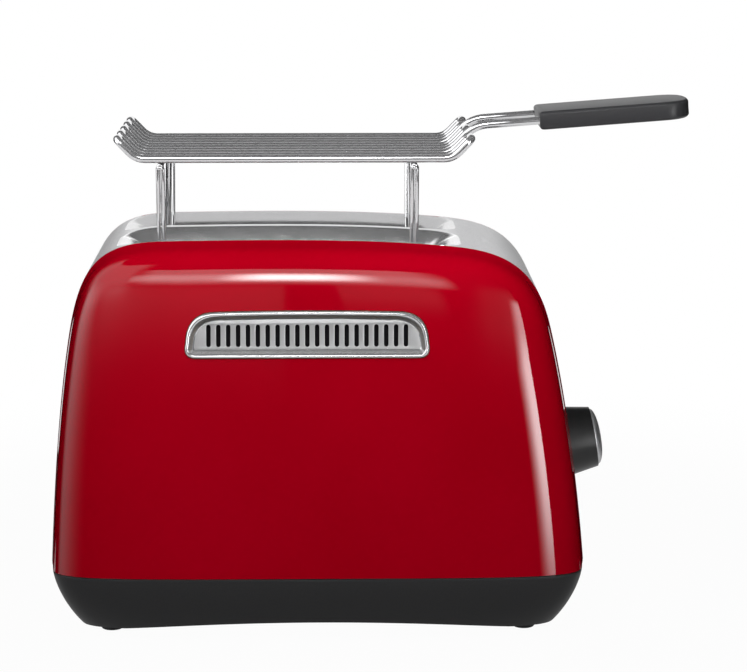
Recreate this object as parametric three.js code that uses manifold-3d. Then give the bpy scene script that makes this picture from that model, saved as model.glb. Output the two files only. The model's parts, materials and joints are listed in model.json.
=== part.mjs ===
// Two-slot toaster with a lift-off bun rack, in millimetres.
// +Z is up and z = 0 is the surface under the feet. The slots run along X, the controls are on
// the +X end and -Y is the long side that faces the viewer. The origin is on that surface, under
// the middle of everything, from the base's left end to the tip of the rack's grip.

import * as THREE from "three";
import { mergeVertices } from "three/addons/utils/BufferGeometryUtils.js";
import Module from "manifold-3d";

const wasm = await Module();
wasm.setup();

// Driving dimensions of the body
const bodyHalfLength = 134;
const bodyTop = 198;
const borderHeight = 34.5;
const bandHalfWidth = 55;
const shellDepth = 37;
const shellLean = 4;
const shellWall = 1.2;
const bandWall = 1.2;
const seam = 0.3;
const slack = 0.6;
const overrun = 6;

// Driving dimensions of the base and its feet
const baseBottom = 5.5;
const baseWall = 2.5;
const baseTuckX = 25;
const baseTuckY = 23;
const baseTuckReach = 3.5;
const baseTuckRise = borderHeight + baseTuckReach;
const archRise = 4;
const archEndRun = 38;
const archHalfChord = bodyHalfLength - archEndRun;
const footRadius = 5.5;
const footEdge = 1.2;
const footSet = 30;
const footX = bodyHalfLength - footSet;
const footY = 57;

// Driving dimensions of the two bread slots
const slotLeftRoom = 48;
const slotRightRoom = 76;
const slotLeft = slotLeftRoom - bodyHalfLength;
const slotRight = bodyHalfLength - slotRightRoom;
const slotInner = 11;
const slotOuter = 38;
const slotCorner = 6;
const dishOuter = 16.6;
const dishInner = 8;
const dishEnd = 14;
const dishDrop = 10;
const collarDrop = 15;

// Driving dimensions of the vents in the two shells
const ventX = -4.75;
const ventLow = 144.2;
const ventHeight = 23;
const ventHigh = ventLow + ventHeight;
const ventArch = 0.6;
const ventCornerRise = 15.5;
const ventSideLean = 0.4;
const ventLowCorner = 5.2;
const ventRim = 3.8;
const ventDeep = 4;
const ventPlate = 1.2;
const ventProud = 1.2;
const ventSlotPitch = 4.81;
const ventSlotWidth = 2.2;
const ventSlotLength = 11;
const ventSlotCount = 21;
const ventEndRoom = 11.35;
const ventTopSet = 15.4;
const ventHalfBottom = (ventSlotPitch * (ventSlotCount - 1)) / 2 + ventEndRoom;
const ventHalfTop = ventHalfBottom - ventTopSet;
const ventSlotRise = 10.7;
const ventSlotMiddle = ventLow + ventSlotRise;
const ventTilt = THREE.MathUtils.degToRad(5.7);

// Driving dimensions of the dial and the buttons on the +X end
const controlHeight = 83.2;
const controlTilt = THREE.MathUtils.degToRad(9.4);
const dialBackRadius = 18.1;
const dialRimRadius = 15.6;
const dialDepth = 14.6;
const dialGap = 0.8;
const dialCapRadius = 14.6;
const dialCapRise = 3.8;
const dialCapSink = 1.2;
const dialWall = 2;
const shaftRadius = 3;
const hubRadius = 6;
const buttonY = 33;
const buttonRise = 10;
const buttonRadius = 5;
const buttonProud = 0.6;
const buttonCrown = 0.35;
const buttonEdge = 0.7;
const buttonTravel = 2;
const buttonFlange = 6.5;
const buttonFlangeThick = 1.8;
const buttonFlangeSet = 2.4;
const buttonStemRadius = 2;
const carrierHalfWidth = 46;
const carrierLow = 22;
const carrierHigh = 17;
const carrierSet = 7;
const carrierPlate = 1.5;
const carrierPost = 3;
const carrierClear = 1;
const boardSet = 12.3;
const boardThick = 1.6;
const timerHalf = 12;
const timerDepth = 15;
const timerBore = 6;

// Driving dimensions of the lift lever, its channel and the carriage
const liftTravel = 38;
const leverBelowTop = 42;
const leverTop = bodyTop - leverBelowTop;
const leverHeight = 12;
const leverHalfWidth = 7;
const leverLip = 2;
const leverLean = 2;
const leverNeckHalf = 2;
const leverNeckHeight = 8;
const channelHalfWidth = 10;
const channelWall = 2;
const channelDepth = 33;
const channelBack = bodyHalfLength - channelDepth;
const channelMargin = 2;
const channelRoom = 5.5;
const leverClear = 1;
const leverReach = 14.6;
const leverBack = channelBack + channelWall + leverClear;
const leverOut = leverBack + leverReach;
const rodBehindEnd = 50;
const rodX = bodyHalfLength - rodBehindEnd;
const rodRadius = 2.7;
const sleeveRadius = 5.5;
const sleeveHeight = 22;
const carriageBelowLever = 66;
const carriageBottom = leverTop - carriageBelowLever;
const carriageThick = 2;
const carriageBar = 8;
const carriageGap = 5;
const tongueSet = 6;
const tongueX = rodX + tongueSet;
const tongueHalfWidth = 5;
const wingReach = 16;
const wingHalf = 4;
const wingThick = 4;
const springRadius = 3;
const magnetHalf = 5;
const restThick = 3;
const restPast = 2.4;
const restTineHalf = 6.5;
const restTineThick = 1.6;
const restTineCount = 9;

// Driving dimensions of the inner frame, the heaters and the bread guides
const leftPlateGap = 4;
const rightPlateGap = 7;
const leftPlateX = slotLeft - leftPlateGap;
const rightPlateX = slotRight + rightPlateGap;
const plateThick = 1.2;
const plateBelowTop = 18;
const plateTop = bodyTop - plateBelowTop;
const plateHalfWidth = 53.7;
const flangeReach = 30;
const flangeHalf = 18;
const flangeLow = 30;
const flangeBelowPlate = 12;
const flangeHigh = plateTop - flangeBelowPlate;
const railY = 54;
const railThick = 1.2;
const railFlange = 10;
const railLow = 22;
const railHeight = 18;
const railPast = 6;
const railEndRoom = 36;
const railLeft = leftPlateX - railPast;
const railRight = bodyHalfLength - railEndRoom;
const bossSet = 48;
const bossX = bodyHalfLength - bossSet;
const bossRadius = 5;
const bossClear = 9;
const heaterOffset = 17.5;
const heaterThick = 1;
const heaterLow = 40;
const heaterBelowPlate = 8;
const heaterHigh = plateTop - heaterBelowPlate;
const guideOffset = 13.5;
const guideWire = 2;
const guideLow = 48;
const guideBelowPlate = 4;
const guideHigh = plateTop - guideBelowPlate;
const guideWireCount = 8;

// Driving dimensions of the crumb tray and the cord inlet
const trayHalfWidth = 41;
const bossY = trayHalfWidth + bossClear;
const trayLow = baseBottom + archRise + baseWall + seam;
const trayHigh = 20;
const trayWall = 1;
const trayFrontThick = 13;
const trayRight = slotRight;
const trayFrontX = trayFrontThick - bodyHalfLength;
const trayFrontGrow = 1.7;
const inletX = -60;
const inletHeight = 22;
const inletBore = 3.5;
const inletNeck = 5;
const inletFlange = 7.5;
const inletFlangeThick = 2.2;
const inletLength = 12;
const inletInside = 1.4;
const screwHead = 3.6;
const screwHeadThick = 1.8;
const screwShank = 1.8;

// Driving dimensions of the bun rack
const wireRadius = 2;
const wirePitch = 11.5;
const rackRise = 39.5;
const rackPastLeft = 3;
const rackPastRight = 9.3;
const rackHeight = bodyTop + rackRise;
const rackLeft = slotLeft - rackPastLeft;
const rackRight = slotRight + rackPastRight;
const tipRun = 9.2;
const tipRise = 9.5;
const tipCorner = 3.2;
const rackBend = 6;
const handleBend = 7;
const legLeftSet = 8.7;
const legRightSet = 9.5;
const legLeftX = slotLeft + legLeftSet;
const legRightX = slotRight - legRightSet;
const legWire = 0.95;
const legSpread = 2.5;
const legOuterY = 49;
const legFootY = 36.4;
const shoulderAbove = 5;
const shoulderY = 42;
const shoulderBelow = 1.4;
const legFootBelow = 7;
const legEndBelow = 14;
const braceTopY = 46;
const braceFootY = 20;
const braceFootBelow = 9;
const crossBar = 1.5;
const gripSet = 45.2;
const gripLength = 77.5;
const gripLeft = rackRight + gripSet;
const gripRight = gripLeft + gripLength;
const gripHalfWidth = 21.5;
const gripThick = 9.3;
const gripEdge = 2;
const gripEndHalf = 13;
const gripRise = 15.25;
const gripAxisHeight = rackHeight + gripRise;
const gripRiseShare = 0.075;
const gripWireDepth = 40;

// Counts of chords, and the reach within which vertices are one
const TIGHT = 3;
const BROAD = 6;
const FINE = 10;
const ROUND = 16;
const WHEEL = 32;
const mergeReach = 1e-4;

// Shares of the body's half length and of its rise above the border, for the outline of its ends
// and top: five cubic curves from the left foot over the top to the right foot.
const outlineShares = [
  [[-1, 0], [-0.985, 0.266], [-0.959, 0.523], [-0.918, 0.7187]],
  [[-0.918, 0.7187], [-0.872, 0.939], [-0.787, 0.9914], [-0.56, 0.994]],
  [[-0.56, 0.994], [-0.2985, 0.997], [0.149, 1.004], [0.4925, 0.9768]],
  [[0.4925, 0.9768], [0.6866, 0.962], [0.8104, 0.9186], [0.865, 0.735]],
  [[0.865, 0.735], [0.914, 0.572], [0.973, 0.275], [1, 0]],
];
const outlineSteps = [BROAD, FINE, BROAD, FINE, BROAD];

const material = (color, roughness, metalness) =>
  new THREE.MeshStandardMaterial({ color, roughness, metalness });
const looks = {
  enamel: [0xb00018, 0.18, 0.0],
  satin: [0xc8c8ca, 0.32, 1.0],
  polished: [0xdadadc, 0.12, 1.0],
  chrome: [0xe2e2e4, 0.06, 1.0],
  moulded: [0x2c2c2e, 0.55, 0.0],
  grip: [0x3c3c3e, 0.5, 0.0],
  rubber: [0x1a1a1a, 0.8, 0.0],
  zinc: [0xa9adb2, 0.4, 1.0],
  mica: [0xc9b48a, 0.7, 0.0],
  circuit: [0x2f5a34, 0.6, 0.0],
  copper: [0x9a5a34, 0.5, 1.0],
};

const toaster = new THREE.Group();

// Adds one named piece, made of its own material
function piece(name, body, look) {
  const geometry = body.isBufferGeometry ? geometryOf(solid(body)) : geometryOf(body);
  const mesh = new THREE.Mesh(geometry, material(...looks[look]));
  mesh.name = name;
  toaster.add(mesh);
}

// Solid arithmetic: a closed mesh as a solid, its faces pointing out
function solid(geometry) {
  const bare = geometry.clone();
  bare.deleteAttribute("normal");
  bare.deleteAttribute("uv");
  const merged = mergeVertices(bare, mergeReach);
  const vertProperties = new Float32Array(merged.attributes.position.array);
  const triVerts = new Uint32Array(merged.index.array);
  const body = new wasm.Manifold(new wasm.Mesh({ numProp: 3, vertProperties, triVerts }));
  if (body.volume() > 0) return body;
  return new wasm.Manifold(new wasm.Mesh({ numProp: 3, vertProperties, triVerts: triVerts.reverse() }));
}

function geometryOf(body) {
  const mesh = body.getMesh();
  const geometry = new THREE.BufferGeometry();
  geometry.setAttribute("position", new THREE.BufferAttribute(mesh.vertProperties, 3));
  geometry.setIndex(new THREE.BufferAttribute(mesh.triVerts, 1));
  geometry.computeVertexNormals();
  return geometry;
}

const join = (bodies) => bodies.reduce((sum, body) => sum.add(body));
const cut = (body, tools) => tools.reduce((rest, tool) => rest.subtract(tool), body);

// A block between two corners
function block(low, high) {
  const size = low.map((value, axis) => high[axis] - value);
  const geometry = new THREE.BoxGeometry(...size);
  geometry.translate(...low.map((value, axis) => (value + high[axis]) / 2));
  return geometry;
}

// A straight rod between two points
function rod(from, to, radius, sides = ROUND) {
  const start = new THREE.Vector3(...from);
  const along = new THREE.Vector3(...to).sub(start);
  const geometry = new THREE.CylinderGeometry(radius, radius, along.length(), sides);
  geometry.translate(0, along.length() / 2, 0);
  const up = new THREE.Vector3(0, 1, 0);
  const turn = new THREE.Quaternion().setFromUnitVectors(up, along.normalize());
  geometry.applyQuaternion(turn);
  geometry.translate(...from);
  return geometry;
}

// A turned piece: its profile is [radius, place along +X], from the axis back to the axis, or
// closed on itself where it has a bore
function turned(profile, sides = WHEEL) {
  const points = profile.map(([radius, along]) => new THREE.Vector2(radius, along));
  const geometry = new THREE.LatheGeometry(points, sides);
  geometry.rotateZ(-Math.PI / 2);
  return geometry;
}

// A closed skin through rings of equal count, with a fan over the first and the last ring
function loft(rings) {
  const count = rings[0].length;
  const positions = rings.flat().flat();
  const index = [];
  for (let ring = 0; ring + 1 < rings.length; ring += 1) {
    for (let i = 0; i < count; i += 1) {
      const next = (i + 1) % count;
      const a = ring * count + i;
      const b = ring * count + next;
      index.push(a, b, b + count, a, b + count, a + count);
    }
  }
  for (const [ring, flip] of [[0, false], [rings.length - 1, true]]) {
    const middle = [0, 1, 2].map((axis) => rings[ring].reduce((sum, p) => sum + p[axis], 0) / count);
    positions.push(...middle);
    const hub = positions.length / 3 - 1;
    for (let i = 0; i < count; i += 1) {
      const a = ring * count + i;
      const b = ring * count + ((i + 1) % count);
      index.push(...(flip ? [hub, a, b] : [hub, b, a]));
    }
  }
  const geometry = new THREE.BufferGeometry();
  geometry.setAttribute("position", new THREE.Float32BufferAttribute(positions, 3));
  geometry.setIndex(index);
  return geometry;
}

const lofted = (rings) => solid(loft(rings));

// A route whose rings fall on its own points, so that straight wire costs few faces
class Route extends THREE.Curve {
  constructor(points) {
    super();
    this.points = points.map((point) => new THREE.Vector3(...point));
  }

  getPoint(share) {
    const place = share * (this.points.length - 1);
    const index = Math.min(Math.floor(place), this.points.length - 2);
    return this.points[index].clone().lerp(this.points[index + 1], place - index);
  }

  getPointAt(share) {
    return this.getPoint(share);
  }

  getTangentAt(share) {
    const last = this.points.length - 1;
    const index = Math.round(share * last);
    const from = this.points[Math.max(index - 1, 0)];
    const to = this.points[Math.min(index + 1, last)];
    return to.clone().sub(from).normalize();
  }
}

// A round wire along a route
function wire(points, radius, sides = 8) {
  const section = new THREE.Shape();
  for (let i = 0; i < sides; i += 1) {
    const angle = (2 * Math.PI * i) / sides;
    const place = [radius * Math.cos(angle), radius * Math.sin(angle)];
    if (i === 0) section.moveTo(...place);
    else section.lineTo(...place);
  }
  section.closePath();
  const route = new Route(points);
  return new THREE.ExtrudeGeometry(section, {
    steps: points.length - 1,
    extrudePath: route,
    bevelEnabled: false,
  });
}

// The outline of the body's ends and top, [x, z], drawn in by an inset
function outline(inset = 0) {
  const length = bodyHalfLength - inset;
  const rise = bodyTop - borderHeight - inset;
  const points = [];
  outlineShares.forEach((shares, k) => {
    const at = ([x, z]) => new THREE.Vector2(x * length, borderHeight + z * rise);
    const curve = new THREE.CubicBezierCurve(...shares.map(at));
    const part = curve.getPoints(outlineSteps[k]);
    points.push(...(k === 0 ? part : part.slice(1)));
  });
  return points.map((point) => [point.x, point.y]);
}

const bodyOutline = outline();

// Height of the top skin over a place along X
function topAt(x) {
  for (let i = 0; i + 1 < bodyOutline.length; i += 1) {
    const [x0, z0] = bodyOutline[i];
    const [x1, z1] = bodyOutline[i + 1];
    if (z0 > bodyTop - (bodyTop - borderHeight) / 2 && x >= x0 && x <= x1) {
      return z0 + ((z1 - z0) * (x - x0)) / (x1 - x0);
    }
  }
  return bodyTop;
}

// Place of the +X end's skin at a height
function endAt(z) {
  for (let i = bodyOutline.length - 1; i > 0; i -= 1) {
    const [x0, z0] = bodyOutline[i];
    const [x1, z1] = bodyOutline[i - 1];
    if (z >= z0 && z <= z1) return x0 + ((x1 - x0) * (z - z0)) / (z1 - z0);
  }
  return bodyHalfLength;
}

// How the shells bulge from the band: [share of the outline, share of the depth]. They fall a little
// from the seam on, and then turn down over a round shoulder.
const bulgePower = 5;
const bulgeFall = 0.048;
const bulgeSpacing = 1.7;
const bulgeStepCount = 9;
const bulgeLastShare = 0.93;
const bulge = [];
for (let i = 0; i <= bulgeStepCount; i += 1) {
  const angle = (Math.PI / 2) * bulgeLastShare * (i / bulgeStepCount) ** bulgeSpacing;
  const deep = Math.sin(angle) ** (2 / bulgePower);
  bulge.push([Math.cos(angle) ** (2 / bulgePower) - bulgeFall * deep * (1 - deep), deep]);
}

// A shell's form, filled: the outline shrinks towards the middle of its lower edge as it bulges
function shellForm(side, inset, extra) {
  const edge = outline(inset);
  const [first, last] = [edge[0], edge[edge.length - 1]];
  const low = borderHeight - extra;
  const ring = [[first[0], low], ...edge, [last[0], low]];
  const depthAt = (z) => shellDepth - inset - (shellLean * (z - borderHeight)) / (bodyTop - borderHeight);
  const rings = bulge.map(([share, deep]) =>
    ring.map(([x, z]) => {
      const height = z < borderHeight ? z : borderHeight + (z - borderHeight) * share;
      return [x * share, side * (bandHalfWidth + depthAt(height) * deep), height];
    }));
  if (extra > 0) rings.unshift(rings[0].map(([x, y, z]) => [x, y - side * extra, z]));
  return extra > 0 ? lofted(rings) : lofted(rings.map((r) => r.slice(1, -1)));
}

// The vent's outline, [x, z], grown by a margin: round at the top corners, tight at the lower ones
function ventOutline(grow) {
  const low = ventLow - grow;
  const high = ventHigh + grow;
  const bottom = ventHalfBottom + grow;
  const top = ventHalfTop + grow;
  const side = bottom - ventSideLean;
  const lowCorner = ventLowCorner + grow;
  const shape = new THREE.Shape();
  shape.moveTo(-bottom + lowCorner, low);
  shape.lineTo(bottom - lowCorner, low);
  shape.quadraticCurveTo(bottom, low, bottom, low + lowCorner);
  shape.lineTo(side, ventHigh - ventCornerRise);
  shape.quadraticCurveTo(side - ventSideLean, high - ventArch, top, high - ventArch);
  shape.quadraticCurveTo(0, high + ventArch, -top, high - ventArch);
  shape.quadraticCurveTo(ventSideLean - side, high - ventArch, -side, ventHigh - ventCornerRise);
  shape.lineTo(-bottom, low + lowCorner);
  shape.quadraticCurveTo(-bottom, low, -bottom + lowCorner, low);
  return shape;
}

// A flat outline in X and Z, made thick along Y from a front place to a back place
function upright(shape, from, to, curveSegments = BROAD) {
  const geometry = new THREE.ExtrudeGeometry(shape, {
    depth: to - from,
    bevelEnabled: false,
    curveSegments,
  });
  geometry.rotateX(Math.PI / 2);
  geometry.translate(0, to, 0);
  return geometry;
}

const ventMiddle = (ventLow + ventHigh) / 2;
const ventFaceShare = (ventMiddle - borderHeight) / (bodyTop - borderHeight);
const ventFaceY = bandHalfWidth + (shellDepth - shellLean * ventFaceShare)
  * (1 - ventFaceShare ** bulgePower) ** (1 / bulgePower);

// One pressed red shell, open at the band, at the base and at its vent
function shell(name, side) {
  const outer = shellForm(side, 0, 0);
  const inner = shellForm(side, shellWall, overrun);
  const hole = upright(ventOutline(seam), -ventDeep - overrun, ventDeep + overrun);
  hole.translate(ventX, side * ventFaceY, 0);
  piece(name, cut(outer, [inner, solid(hole)]), "enamel");
}

// One vent: a bright rim around a sunk plate with upright slots, leaning with the shell
function vent(name, side) {
  const front = -ventProud;
  const rim = cut(solid(upright(ventOutline(0), front, ventDeep + ventPlate)),
    [solid(upright(ventOutline(-ventRim), front - overrun, ventDeep + overrun))]);
  const plate = ventOutline(-ventRim + seam);
  const half = ventSlotWidth / 2;
  const reach = ventSlotLength / 2 - half;
  for (let i = 0; i < ventSlotCount; i += 1) {
    const x = (i - (ventSlotCount - 1) / 2) * ventSlotPitch;
    const hole = new THREE.Path();
    hole.absarc(x, ventSlotMiddle + reach, half, 0, Math.PI, false);
    hole.absarc(x, ventSlotMiddle - reach, half, Math.PI, 2 * Math.PI, false);
    hole.closePath();
    plate.holes.push(hole);
  }
  const body = join([rim, solid(upright(plate, ventDeep, ventDeep + ventPlate, 2))]);
  const geometry = geometryOf(body);
  geometry.translate(0, 0, -ventMiddle);
  geometry.rotateX(-ventTilt);
  if (side > 0) geometry.rotateZ(Math.PI);
  geometry.translate(ventX, side * ventFaceY, ventMiddle);
  piece(name, geometry, "polished");
}

// One slot's funnel: rings that grow from the throat up to the level of the top skin. With a
// margin it is the outside of the sheet, and ends at the collar's lower edge.
const dishShares = [0, 0.12, 0.3, 0.5, 0.72, 1];
function slotFunnel(side, margin) {
  const ring = (share, heightAt) => {
    const left = slotLeft - dishEnd * share - margin;
    const right = slotRight + dishEnd * share + margin;
    const inner = slotInner - dishInner * share - margin;
    const outer = slotOuter + dishOuter * share + margin;
    const corner = slotCorner + dishInner * share + margin;
    const centres = [
      [right - corner, outer - corner],
      [left + corner, outer - corner],
      [left + corner, inner + corner],
      [right - corner, inner + corner],
    ];
    const turns = centres.map(([x, y], quarter) =>
      cornerAngles(quarter).map((angle) => [x + corner * Math.cos(angle), y + corner * Math.sin(angle)]));
    const loop = [
      ...turns[0], ...between(right - corner, left + corner, outer), ...turns[1],
      ...turns[2], ...between(left + corner, right - corner, inner), ...turns[3],
    ];
    return loop.map(([x, y]) => [x, side * y, heightAt(x)]);
  };
  const drop = (share) => dishDrop * (1 - Math.sqrt(1 - (1 - share) ** 2));
  const low = margin > 0 ? collarDrop : collarDrop + overrun;
  const rings = dishShares.map((share) => ring(share, (x) => topAt(x) - drop(share) - margin));
  rings.unshift(ring(0, (x) => topAt(x) - low));
  rings.push(ring(1, () => bodyTop + overrun));
  return lofted(rings);
}

// Places along a long side, between its ends
function between(from, to, y) {
  const places = [];
  for (let i = 1; i < BROAD; i += 1) places.push([from + ((to - from) * i) / BROAD, y]);
  return places;
}

// Angles of one quarter of a rounded rectangle
function cornerAngles(quarter, chords = TIGHT) {
  const angles = [];
  for (let i = 0; i <= chords; i += 1) angles.push((Math.PI / 2) * (quarter + i / chords));
  return angles;
}

// The band's form, filled, between two places along Y
function bandForm(inset, halfWidth, extra) {
  const edge = outline(inset);
  const [first, last] = [edge[0], edge[edge.length - 1]];
  const ring = [[first[0], borderHeight - extra], ...edge, [last[0], borderHeight - extra]];
  const points = extra > 0 ? ring : edge;
  return lofted([-halfWidth, halfWidth].map((y) => points.map(([x, z]) => [x, y, z])));
}

// Places on the control end, from [out, across, up] along the leaning panel to body places
const controlX = endAt(controlHeight);
const controlTurn = new THREE.Matrix4().makeRotationY(-controlTilt)
  .setPosition(controlX, 0, controlHeight);
const onPanel = (geometry) => geometry.applyMatrix4(controlTurn);
const panelRod = (y, up, from, to, radius, sides) =>
  onPanel(rod([from, y, up], [to, y, up], radius, sides));

const buttonPlaces = [
  ["button_front_upper", -buttonY, buttonRise],
  ["button_front_lower", -buttonY, -buttonRise],
  ["button_rear_upper", buttonY, buttonRise],
  ["button_rear_lower", buttonY, -buttonRise],
];

const channelLow = leverTop - leverHeight - liftTravel - channelMargin - channelWall;
const channelHigh = leverTop + channelRoom + channelWall;

// Stainless band over the top and both ends, with dished slots and the control openings
function topBand() {
  const outer = bandForm(0, bandHalfWidth - seam, 0);
  const inner = bandForm(bandWall, bandHalfWidth + overrun, overrun);
  const sheetSide = [-1, 1].map((side) => slotFunnel(side, bandWall));
  const openings = [-1, 1].map((side) => slotFunnel(side, 0));
  openings.push(solid(block(
    [channelBack, -channelHalfWidth - seam, channelLow - seam],
    [bodyHalfLength + overrun, channelHalfWidth + seam, channelHigh + seam])));
  openings.push(solid(panelRod(0, 0, -overrun, overrun, shaftRadius + slack)));
  for (const [, y, up] of buttonPlaces) {
    openings.push(solid(panelRod(y, up, -overrun, overrun, buttonRadius + seam)));
  }
  piece("top_band", cut(outer, [cut(inner, sheetSide), ...openings]), "satin");
}

// Half of the base's plan outline, [x, y], the same curve that the shells end on
const planSteps = bulge.map(([share, deep]) => [bodyHalfLength * share, bandHalfWidth + shellDepth * deep]);

// The base's form, filled: rings tucked in towards the feet
const tuckPower = 1.45;
const tuckLevelShares = [0, 0.16, 0.38, 0.6, 0.78, 0.9, 1];
function baseForm(inset, top, lowest) {
  const rings = tuckLevelShares.map((share) => {
    const z = baseBottom + (borderHeight - seam - baseBottom) * (1 - share);
    const fall = (borderHeight - seam - z) / baseTuckRise;
    const tuck = 1 - (1 - fall ** tuckPower) ** (1 / tuckPower);
    const scaleX = 1 - (baseTuckX * tuck + inset) / bodyHalfLength;
    const scaleY = 1 - (baseTuckY * tuck + inset) / (bandHalfWidth + shellDepth);
    const quarter = planSteps.map(([x, y]) => [x * scaleX, y * scaleY]);
    const half = [...quarter, ...[...quarter].reverse().map(([x, y]) => [-x, y])];
    const whole = [...half, ...[...half].reverse().map(([x, y]) => [x, -y])];
    return whole.map(([x, y]) => [x, y, z]);
  });
  const raise = (ring, z) => ring.map(([x, y]) => [x, y, z]);
  if (top > 0) rings.unshift(raise(rings[0], borderHeight + top));
  if (lowest < baseBottom) rings.push(raise(rings[rings.length - 1], lowest));
  return lofted(rings);
}

// The long shallow arch that lifts the middle of the base off the table
function archForm(grow) {
  const radius = (archHalfChord ** 2 + archRise ** 2) / (2 * archRise);
  const top = baseBottom + archRise + grow;
  const far = bandHalfWidth + shellDepth + overrun;
  const half = Math.sqrt(radius ** 2 - (radius - archRise - grow) ** 2);
  const shape = new THREE.Shape();
  const count = FINE + BROAD;
  for (let i = 0; i <= count; i += 1) {
    const x = half * ((2 * i) / count - 1);
    const z = top - radius + Math.sqrt(radius ** 2 - x ** 2);
    if (i === 0) shape.moveTo(x, z);
    else shape.lineTo(x, z);
  }
  shape.lineTo(half, -overrun);
  shape.lineTo(-half, -overrun);
  shape.closePath();
  return solid(upright(shape, -far, far));
}

const corners = [[-1, -1], [1, -1], [-1, 1], [1, 1]];
const trayFront = bodyHalfLength + overrun;
const trayOpening = block(
  [-trayFront, -trayHalfWidth - trayFrontGrow - seam, trayLow - slack],
  [trayFrontX + baseTuckX, trayHalfWidth + trayFrontGrow + seam, trayHigh + trayWall]);

// Moulded base: a tub with an arched underside, posts for the frame and an opening for the tray
function base() {
  const outer = cut(baseForm(0, 0, baseBottom), [archForm(0)]);
  const hollow = baseForm(baseWall, overrun, baseBottom);
  const floor = join([archForm(baseWall), solid(block(
    [-bodyHalfLength, -bodyHalfLength, -overrun],
    [bodyHalfLength, bodyHalfLength, baseBottom + baseWall]))]);
  const posts = corners.map(([x, y]) => solid(rod(
    [x * bossX, y * bossY, baseBottom + baseWall / 2],
    [x * bossX, y * bossY, railLow - seam], bossRadius)));
  const tub = join([cut(outer, [cut(hollow, [floor])]), ...posts]);
  const holes = [solid(trayOpening)];
  holes.push(solid(rod([inletX, trayHalfWidth, inletHeight], [inletX, bodyHalfLength, inletHeight],
    inletNeck + seam)));
  for (const [x, y] of corners) {
    const place = [x * bossX, y * bossY];
    holes.push(solid(rod([...place, -overrun], [...place, railLow + overrun], screwShank + seam)));
  }
  piece("base_housing", cut(tub, holes), "moulded");
}

// Soft feet, one at each corner
function feet() {
  const names = ["foot_front_left", "foot_front_right", "foot_rear_left", "foot_rear_right"];
  corners.forEach(([x, y], i) => {
    const high = baseBottom - seam;
    const profile = [
      [0, 0], [footRadius - footEdge, 0], [footRadius, footEdge], [footRadius, high], [0, high],
    ];
    const geometry = turned(profile, ROUND);
    geometry.rotateY(-Math.PI / 2);
    geometry.translate(x * footX, y * footY, 0);
    piece(names[i], geometry, "rubber");
  });
}

// Height of the arch over the table at a place along X
function archAt(x) {
  const radius = (archHalfChord ** 2 + archRise ** 2) / (2 * archRise);
  return baseBottom + archRise - radius + Math.sqrt(radius ** 2 - x ** 2);
}

// Screws that go up through the base into the posts
function screws() {
  const names = ["screw_front_left", "screw_front_right", "screw_rear_left", "screw_rear_right"];
  corners.forEach(([x, y], i) => {
    const under = archAt(bossX + screwHead) - seam;
    const place = [x * bossX, y * bossY];
    const head = rod([...place, under - screwHeadThick], [...place, under], screwHead);
    const shank = rod([...place, under - screwHeadThick / 2], [...place, railLow - slack], screwShank, FINE);
    piece(names[i], join([solid(head), solid(shank)]), "zinc");
  });
}

// Rails along both sides, lying on the posts
function rails() {
  for (const [name, side] of [["rail_front", -1], ["rail_rear", 1]]) {
    const across = (from, to) => [Math.min(side * from, side * to), Math.max(side * from, side * to)];
    const [webLow, webHigh] = across(railY, railY + railThick);
    const [flatLow, flatHigh] = across(railY - railFlange, railY + railThick);
    piece(name, join([
      solid(block([railLeft, webLow, railLow], [railRight, webHigh, railLow + railHeight])),
      solid(block([railLeft, flatLow, railLow], [railRight, flatHigh, railLow + railThick])),
    ]), "zinc");
  }
}

const slotMiddle = (slotInner + slotOuter) / 2;
const restSlotHalf = restThick / 2 + slack;
const restTop = carriageBottom + carriageBar;

// Two upright plates that hold the heaters and guides; the right one carries the lift's rod
function endPlates() {
  const restSlots = (x) => [-1, 1].map((side) => solid(block(
    [x - overrun, side * slotMiddle - restSlotHalf, carriageBottom - liftTravel - slack],
    [x + overrun, side * slotMiddle + restSlotHalf, restTop + restTineThick])));
  const low = railLow + railThick + seam;
  const plate = (x) => solid(block([x, -plateHalfWidth, low], [x + plateThick, plateHalfWidth, plateTop]));
  piece("end_plate_left", cut(plate(leftPlateX), restSlots(leftPlateX)), "zinc");
  const flange = (z) => solid(block(
    [rightPlateX + plateThick / 2, -flangeHalf, z], [rightPlateX + flangeReach, flangeHalf, z + plateThick]));
  piece("end_plate_right", cut(join([plate(rightPlateX), flange(flangeLow), flange(flangeHigh)]),
    restSlots(rightPlateX)), "zinc");
}

// Four heater boards, one on each side of each slot
function heaters() {
  const places = [
    ["heater_front_outer", -slotMiddle - heaterOffset],
    ["heater_front_inner", -slotMiddle + heaterOffset],
    ["heater_rear_inner", slotMiddle - heaterOffset],
    ["heater_rear_outer", slotMiddle + heaterOffset],
  ];
  for (const [name, y] of places) {
    piece(name, block(
      [leftPlateX + plateThick + seam, y - heaterThick / 2, heaterLow],
      [rightPlateX - seam, y + heaterThick / 2, heaterHigh]), "mica");
  }
}

// Four wire guides that close on the bread as the carriage goes down
function guides() {
  const places = [
    ["guide_front_outer", -slotMiddle - guideOffset],
    ["guide_front_inner", -slotMiddle + guideOffset],
    ["guide_rear_inner", slotMiddle - guideOffset],
    ["guide_rear_outer", slotMiddle + guideOffset],
  ];
  const left = leftPlateX + plateThick + seam;
  const right = rightPlateX - seam;
  const half = guideWire / 2;
  for (const [name, y] of places) {
    const bars = [guideLow, guideHigh - guideWire].map((z) =>
      solid(block([left, y - half, z], [right, y + half, z + guideWire])));
    for (let i = 0; i < guideWireCount; i += 1) {
      const x = left + ((right - left) * (i + 1)) / (guideWireCount + 1);
      bars.push(solid(block([x - half, y - half, guideLow + half], [x + half, y + half, guideHigh - half])));
    }
    piece(name, join(bars), "chrome");
  }
}

const tongueTop = leverTop - (leverHeight - leverNeckHeight) / 2;

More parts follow.
